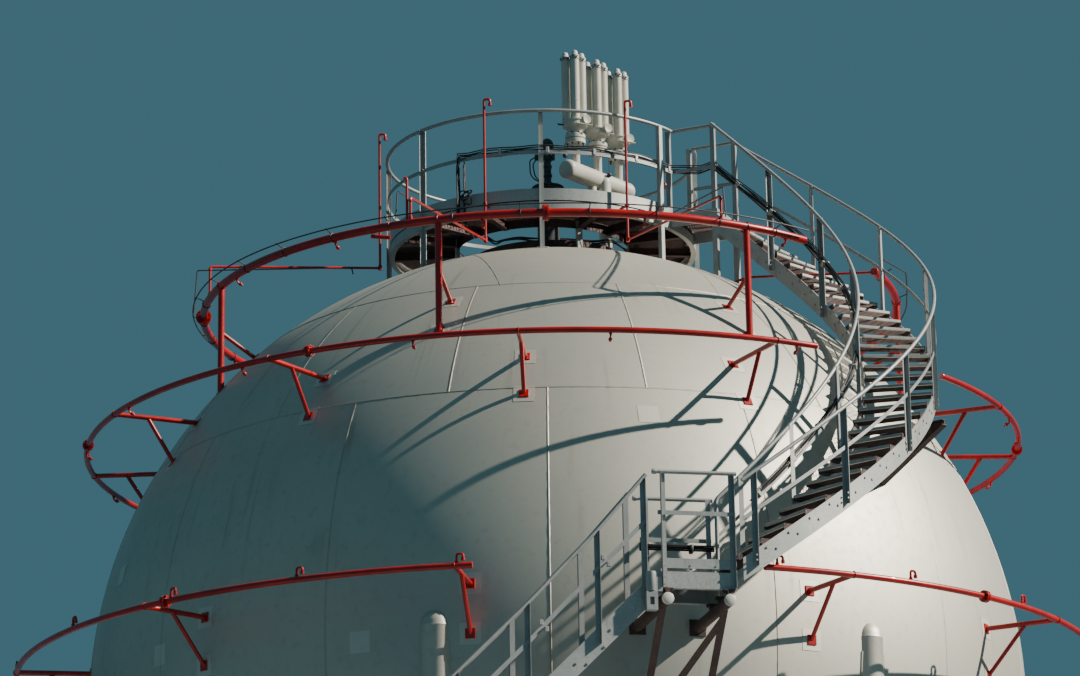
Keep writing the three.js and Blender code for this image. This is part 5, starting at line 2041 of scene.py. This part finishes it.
for y in ys:
    halfParts.append(
        block(xs[0] + 0.05, xs[1] - 0.05, y - 0.03, y + 0.03, lowTie - 0.06, lowTie, 0.004)
    )
    diagonals.append([(xs[0], y, lowTie), (xs[1], y, highTie)])
halfParts += [tubes(diagonals, 0.028, 4), bolts(anchors, 0.012, 0.014)]
dressed(
    placed(joined(halfParts), onLanding), "halfway_frame", zincLight,
    ["halfway_landing"],
)
halfGrid = rectangleGrating(x0 + 0.012, x1 - 0.012, y0 + 0.012, y1 - 0.012, halfHeight)
# The grating is dark brown partly as oxide and partly as painted shade of its underside.
dressed(placed(halfGrid, onLanding), "halfway_grating", oxideAndShadeSteel)
railY = flightOuter - railing["standOff"] - seatGap
railZ, flatZ = halfHeight + half["railTop"], halfHeight + half["railFlat"]
halfRail = [
    tubes([[(x0, railY, railZ), (x1, railY, railZ)]], railing["tube"], 5),
    flatRail([(x0, railY, flatZ), (x1, railY, flatZ)]),
]
for x in (x0 + 0.04, x1 - 0.04):
    halfRail.append(anglePost("rail", halfHeight - 0.19, railZ, shift(x, railY, 0)))
dressed(
    placed(joined(halfRail), onLanding), "halfway_rail", zincRail,
    ["halfway_handrail"],
)
print("halfway landing set")

# Cables along the platform rail, over the bridge and down the inner rail, with clamps and trays
cables = {
    "radius": 0.008,
    "clampEvery": 0.62,
    "from": -29.8,
    "lift": 0.63,
    "sway": 0.008,
    "drop": 16,
    "dropStep": 0.055,
    "stairRadius": 2.695,
    "stairFrom": 155.5,
    "stairTo": 24,
    "stairStep": 2.2,
    "tray": (24, 47),
}
bundleOffsets = [
    (0.0, 0.0), (0.024, 0.012), (-0.022, 0.02), (0.004, 0.045),
    (-0.012, -0.03), (0.026, -0.02), (0.01, 0.07),
]


def bundle(line, seed=0.0, spread=1.0):
    # cables side by side along a path, each wandering a little
    lines = []
    for j, (dx, dz) in enumerate(bundleOffsets):
        strand = []
        for i, p in enumerate(line):
            sway = cables["sway"] * math.sin(i * 0.7 + j * 2.1 + seed)
            out = Vector((p[0], p[1], 0)).normalized()
            strand.append(
                Vector(p) + out * (dx * spread + sway) + upward * (dz * spread + sway * 0.6)
            )
        lines.append(strand)
    return tubes(lines, cables["radius"], 2)


cableHeight = zDeck + cables["lift"]
cableArc = arcLine(2.1, cables["from"], 56, cableHeight, 40, deck["centre"])
dropTop = around(cables["from"] - 1.2, 2.15, cableHeight - 0.07, deck["centre"])
dropLine = [dropTop - upward * cables["dropStep"] * k for k in range(cables["drop"])]
cableArc = rounded([dropTop, dropTop + upward * 0.07, cableArc[1]], 0.06)[1:] + cableArc[2:]
sag = ((-2.2, -0.02), (-2.4, -0.05), (-2.62, 0.0))
bridgeRun = [onBridge @ Vector((bridge["near"] + 0.08, y, cableHeight + dz)) for y, dz in sag]
stairRun = []
for k in range(int((cables["stairFrom"] - cables["stairTo"]) / cables["stairStep"]) + 1):
    angle = cables["stairFrom"] - cables["stairStep"] * k
    lift = (spiral["railLow"] + (spiral["railHigh"] - spiral["railLow"]) * spiralShare(angle)) / 2
    stairRun.append(
        around(angle, cables["stairRadius"], spiralHeight(angle) + lift + 0.035, spiral["centre"])
    )
mainRun = cableArc + bridgeRun + stairRun
clampBlocks, travelled = [], 0.0
for before, after in zip(mainRun, mainRun[1:]):
    travelled += (Vector(after) - Vector(before)).length
    if travelled > cables["clampEvery"]:
        travelled = 0.0
        along = (Vector(after) - Vector(before)).normalized()
        out = Vector((-along.y, along.x, 0)).normalized()
        axes = Matrix((along, out, along.cross(out))).transposed().to_4x4()
        clamp = block(-0.02, 0.02, -0.05, 0.05, -0.04, 0.04, 0.003)
        clampBlocks.append(placed(clamp, Matrix.Translation(after) @ axes))
trayArc = arcLine(2.085, *cables["tray"], cableHeight + 0.035, 14, deck["centre"])
tray = fence([trayArc], -0.045, 0.045, 0.006)
trayLip = swept([trayArc], [(-0.07, -0.03), (0, -0.03), (0, -0.026), (-0.07, -0.026)])
besideDrop = [p + Vector((0.085, 0, -0.03)) for p in dropLine]
bundles = joined(bundle(mainRun), bundle(dropLine, 1.7, 1.2), bundle(besideDrop, 2.9, 0.7))
dressed(bundles, "cable_bundles", cableSheath, angle=60)
dressed(joined(clampBlocks, tray, trayLip), "cable_clamps", zincLight)

# Cables along the landing's inner rail, held by two clamps
backLines = []
for dy, dz in ((0, 0), (0.02, 0.022), (-0.015, 0.03), (0.01, -0.02)):
    backLines.append([Vector((x, -6.9, 0.637)) + Vector((0, dy, dz)) for x in (-0.44, 0.44)])
backClamps = []
for x, low in ((-0.43, 0.6), (0.16, 0.58)):
    backClamps.append(block(x - 0.022, x + 0.022, -6.94, -6.86, low, low + 0.1, 0.006))
backPiece = placed(joined(tubes(backLines, 0.011, 2), backClamps), onLanding)
dressed(backPiece, "landing_cables", cableSheath, angle=60)

# A loose run under the deck and a coil where the drop meets the toe board
underDeck = [
    (-0.85, -0.75, 6.41), (-0.72, -0.75, 6.33), (-0.63, -0.75, 6.37), (-0.42, -0.75, 6.39),
    (-0.2, -0.75, 6.37), (0.09, -0.75, 6.38), (0.3, -0.75, 6.35), (0.63, -0.75, 6.31),
    (0.86, -0.75, 6.35), (1.04, -0.75, 6.2),
]
underLines = []
for dy, dz, sway in ((0, 0, 0.0), (0.03, 0.02, 1.4), (-0.02, -0.022, 2.9)):
    line = [
        Vector(p) + Vector((0, dy, dz + 0.012 * math.sin(i * 1.9 + sway)))
        for i, p in enumerate(underDeck)
    ]
    underLines.append(rounded(line, 0.08))
coilMiddle = around(-27.4, 2.19, 6.6, deck["centre"])
across = turn(-31) @ Vector((1, 0, 0))
coils = []
for tilt, size in ((0.3, 0.05), (-0.5, 0.075), (0.9, 0.062)):
    loop = []
    for k in range(16):
        a = 2 * math.pi * k / 16
        drift = Vector((math.sin(tilt), -0.2, math.cos(tilt))) * size * 1.35 * math.cos(a)
        loop.append(coilMiddle + across * size * math.sin(a) + drift + upward * tilt * 0.03)
    coils.append(loop)
loose = joined(tubes(underLines, 0.011, 2), tubes(coils, 0.009, 2, closed=True))
dressed(loose, "loose_cables", cableSheath, angle=60)
print("cables clipped")

# Floor, light and camera
for cadNode in frame["nodes"].values():
    if not cadNode.hide_render:
        cadNode.data.materials.clear()
        cadNode.data.materials.append(zincLight)

bpy.ops.mesh.primitive_plane_add(size=32, location=(sphereCentre.x, sphereCentre.y, -0.002))
floor = bpy.context.object
bpy.ops.object.transform_apply(location=True)
floor.name = "studio_floor"
floorFinish = Finish("pale floor", 0.8)
floorFinish.colour(
    floorFinish.mix(floorFinish.noise(0.4, 2.0), (0.36, 0.357, 0.35), (0.41, 0.406, 0.4))
)
floor.data.materials.append(floorFinish.material)

light = {
    "azimuth": 84,
    "elevation": 36.5,
    "strength": 7.6,
    "spread": 0.8,
    "colour": (1.0, 0.94, 0.83),
    "fill": 0.27,
    "fillColour": (0.2, 0.52, 0.67, 1),
}
sun = bpy.data.lights.new("key", "SUN")
sun.energy = light["strength"]
sun.angle = math.radians(light["spread"])
sun.color = light["colour"]
sunThing = bpy.data.objects.new("key", sun)
bpy.context.scene.collection.objects.link(sunThing)
elevation = math.radians(light["elevation"])
towards = around(light["azimuth"], math.cos(elevation), math.sin(elevation))
sunThing.rotation_mode = "QUATERNION"
sunThing.rotation_quaternion = towards.to_track_quat("Z", "Y")

world = bpy.data.worlds.new("studio")
bpy.context.scene.world = world
world.use_nodes = True
background = world.node_tree.nodes["Background"]
background.inputs["Color"].default_value = light["fillColour"]
background.inputs["Strength"].default_value = light["fill"]

view = {
    "place": (0, -49.52, -9.3407),
    "yaw": -0.0029,
    "pitch": 0.2855,
    "roll": -0.0168,
    "lens": 125.78,
}
camera = bpy.data.cameras.new("camera")
camera.sensor_fit = "HORIZONTAL"
camera.sensor_width = 36
camera.lens = view["lens"]
camera.clip_end = 1000
cameraThing = bpy.data.objects.new("camera", camera)
bpy.context.scene.collection.objects.link(cameraThing)
yaw, pitch, roll = view["yaw"], view["pitch"], view["roll"]
ahead = Vector((math.sin(yaw) * math.cos(pitch), math.cos(yaw) * math.cos(pitch), math.sin(pitch)))
side = Vector((math.cos(yaw), -math.sin(yaw), 0))
head = side.cross(ahead)
right = side * math.cos(roll) + head * math.sin(roll)
up = head * math.cos(roll) - side * math.sin(roll)
pose = Matrix((right, up, -ahead)).transposed().to_4x4()
cameraThing.matrix_world = Matrix.Translation(sphereCentre + Vector(view["place"])) @ pose
bpy.context.scene.camera = cameraThing
print("floor, light and camera set")
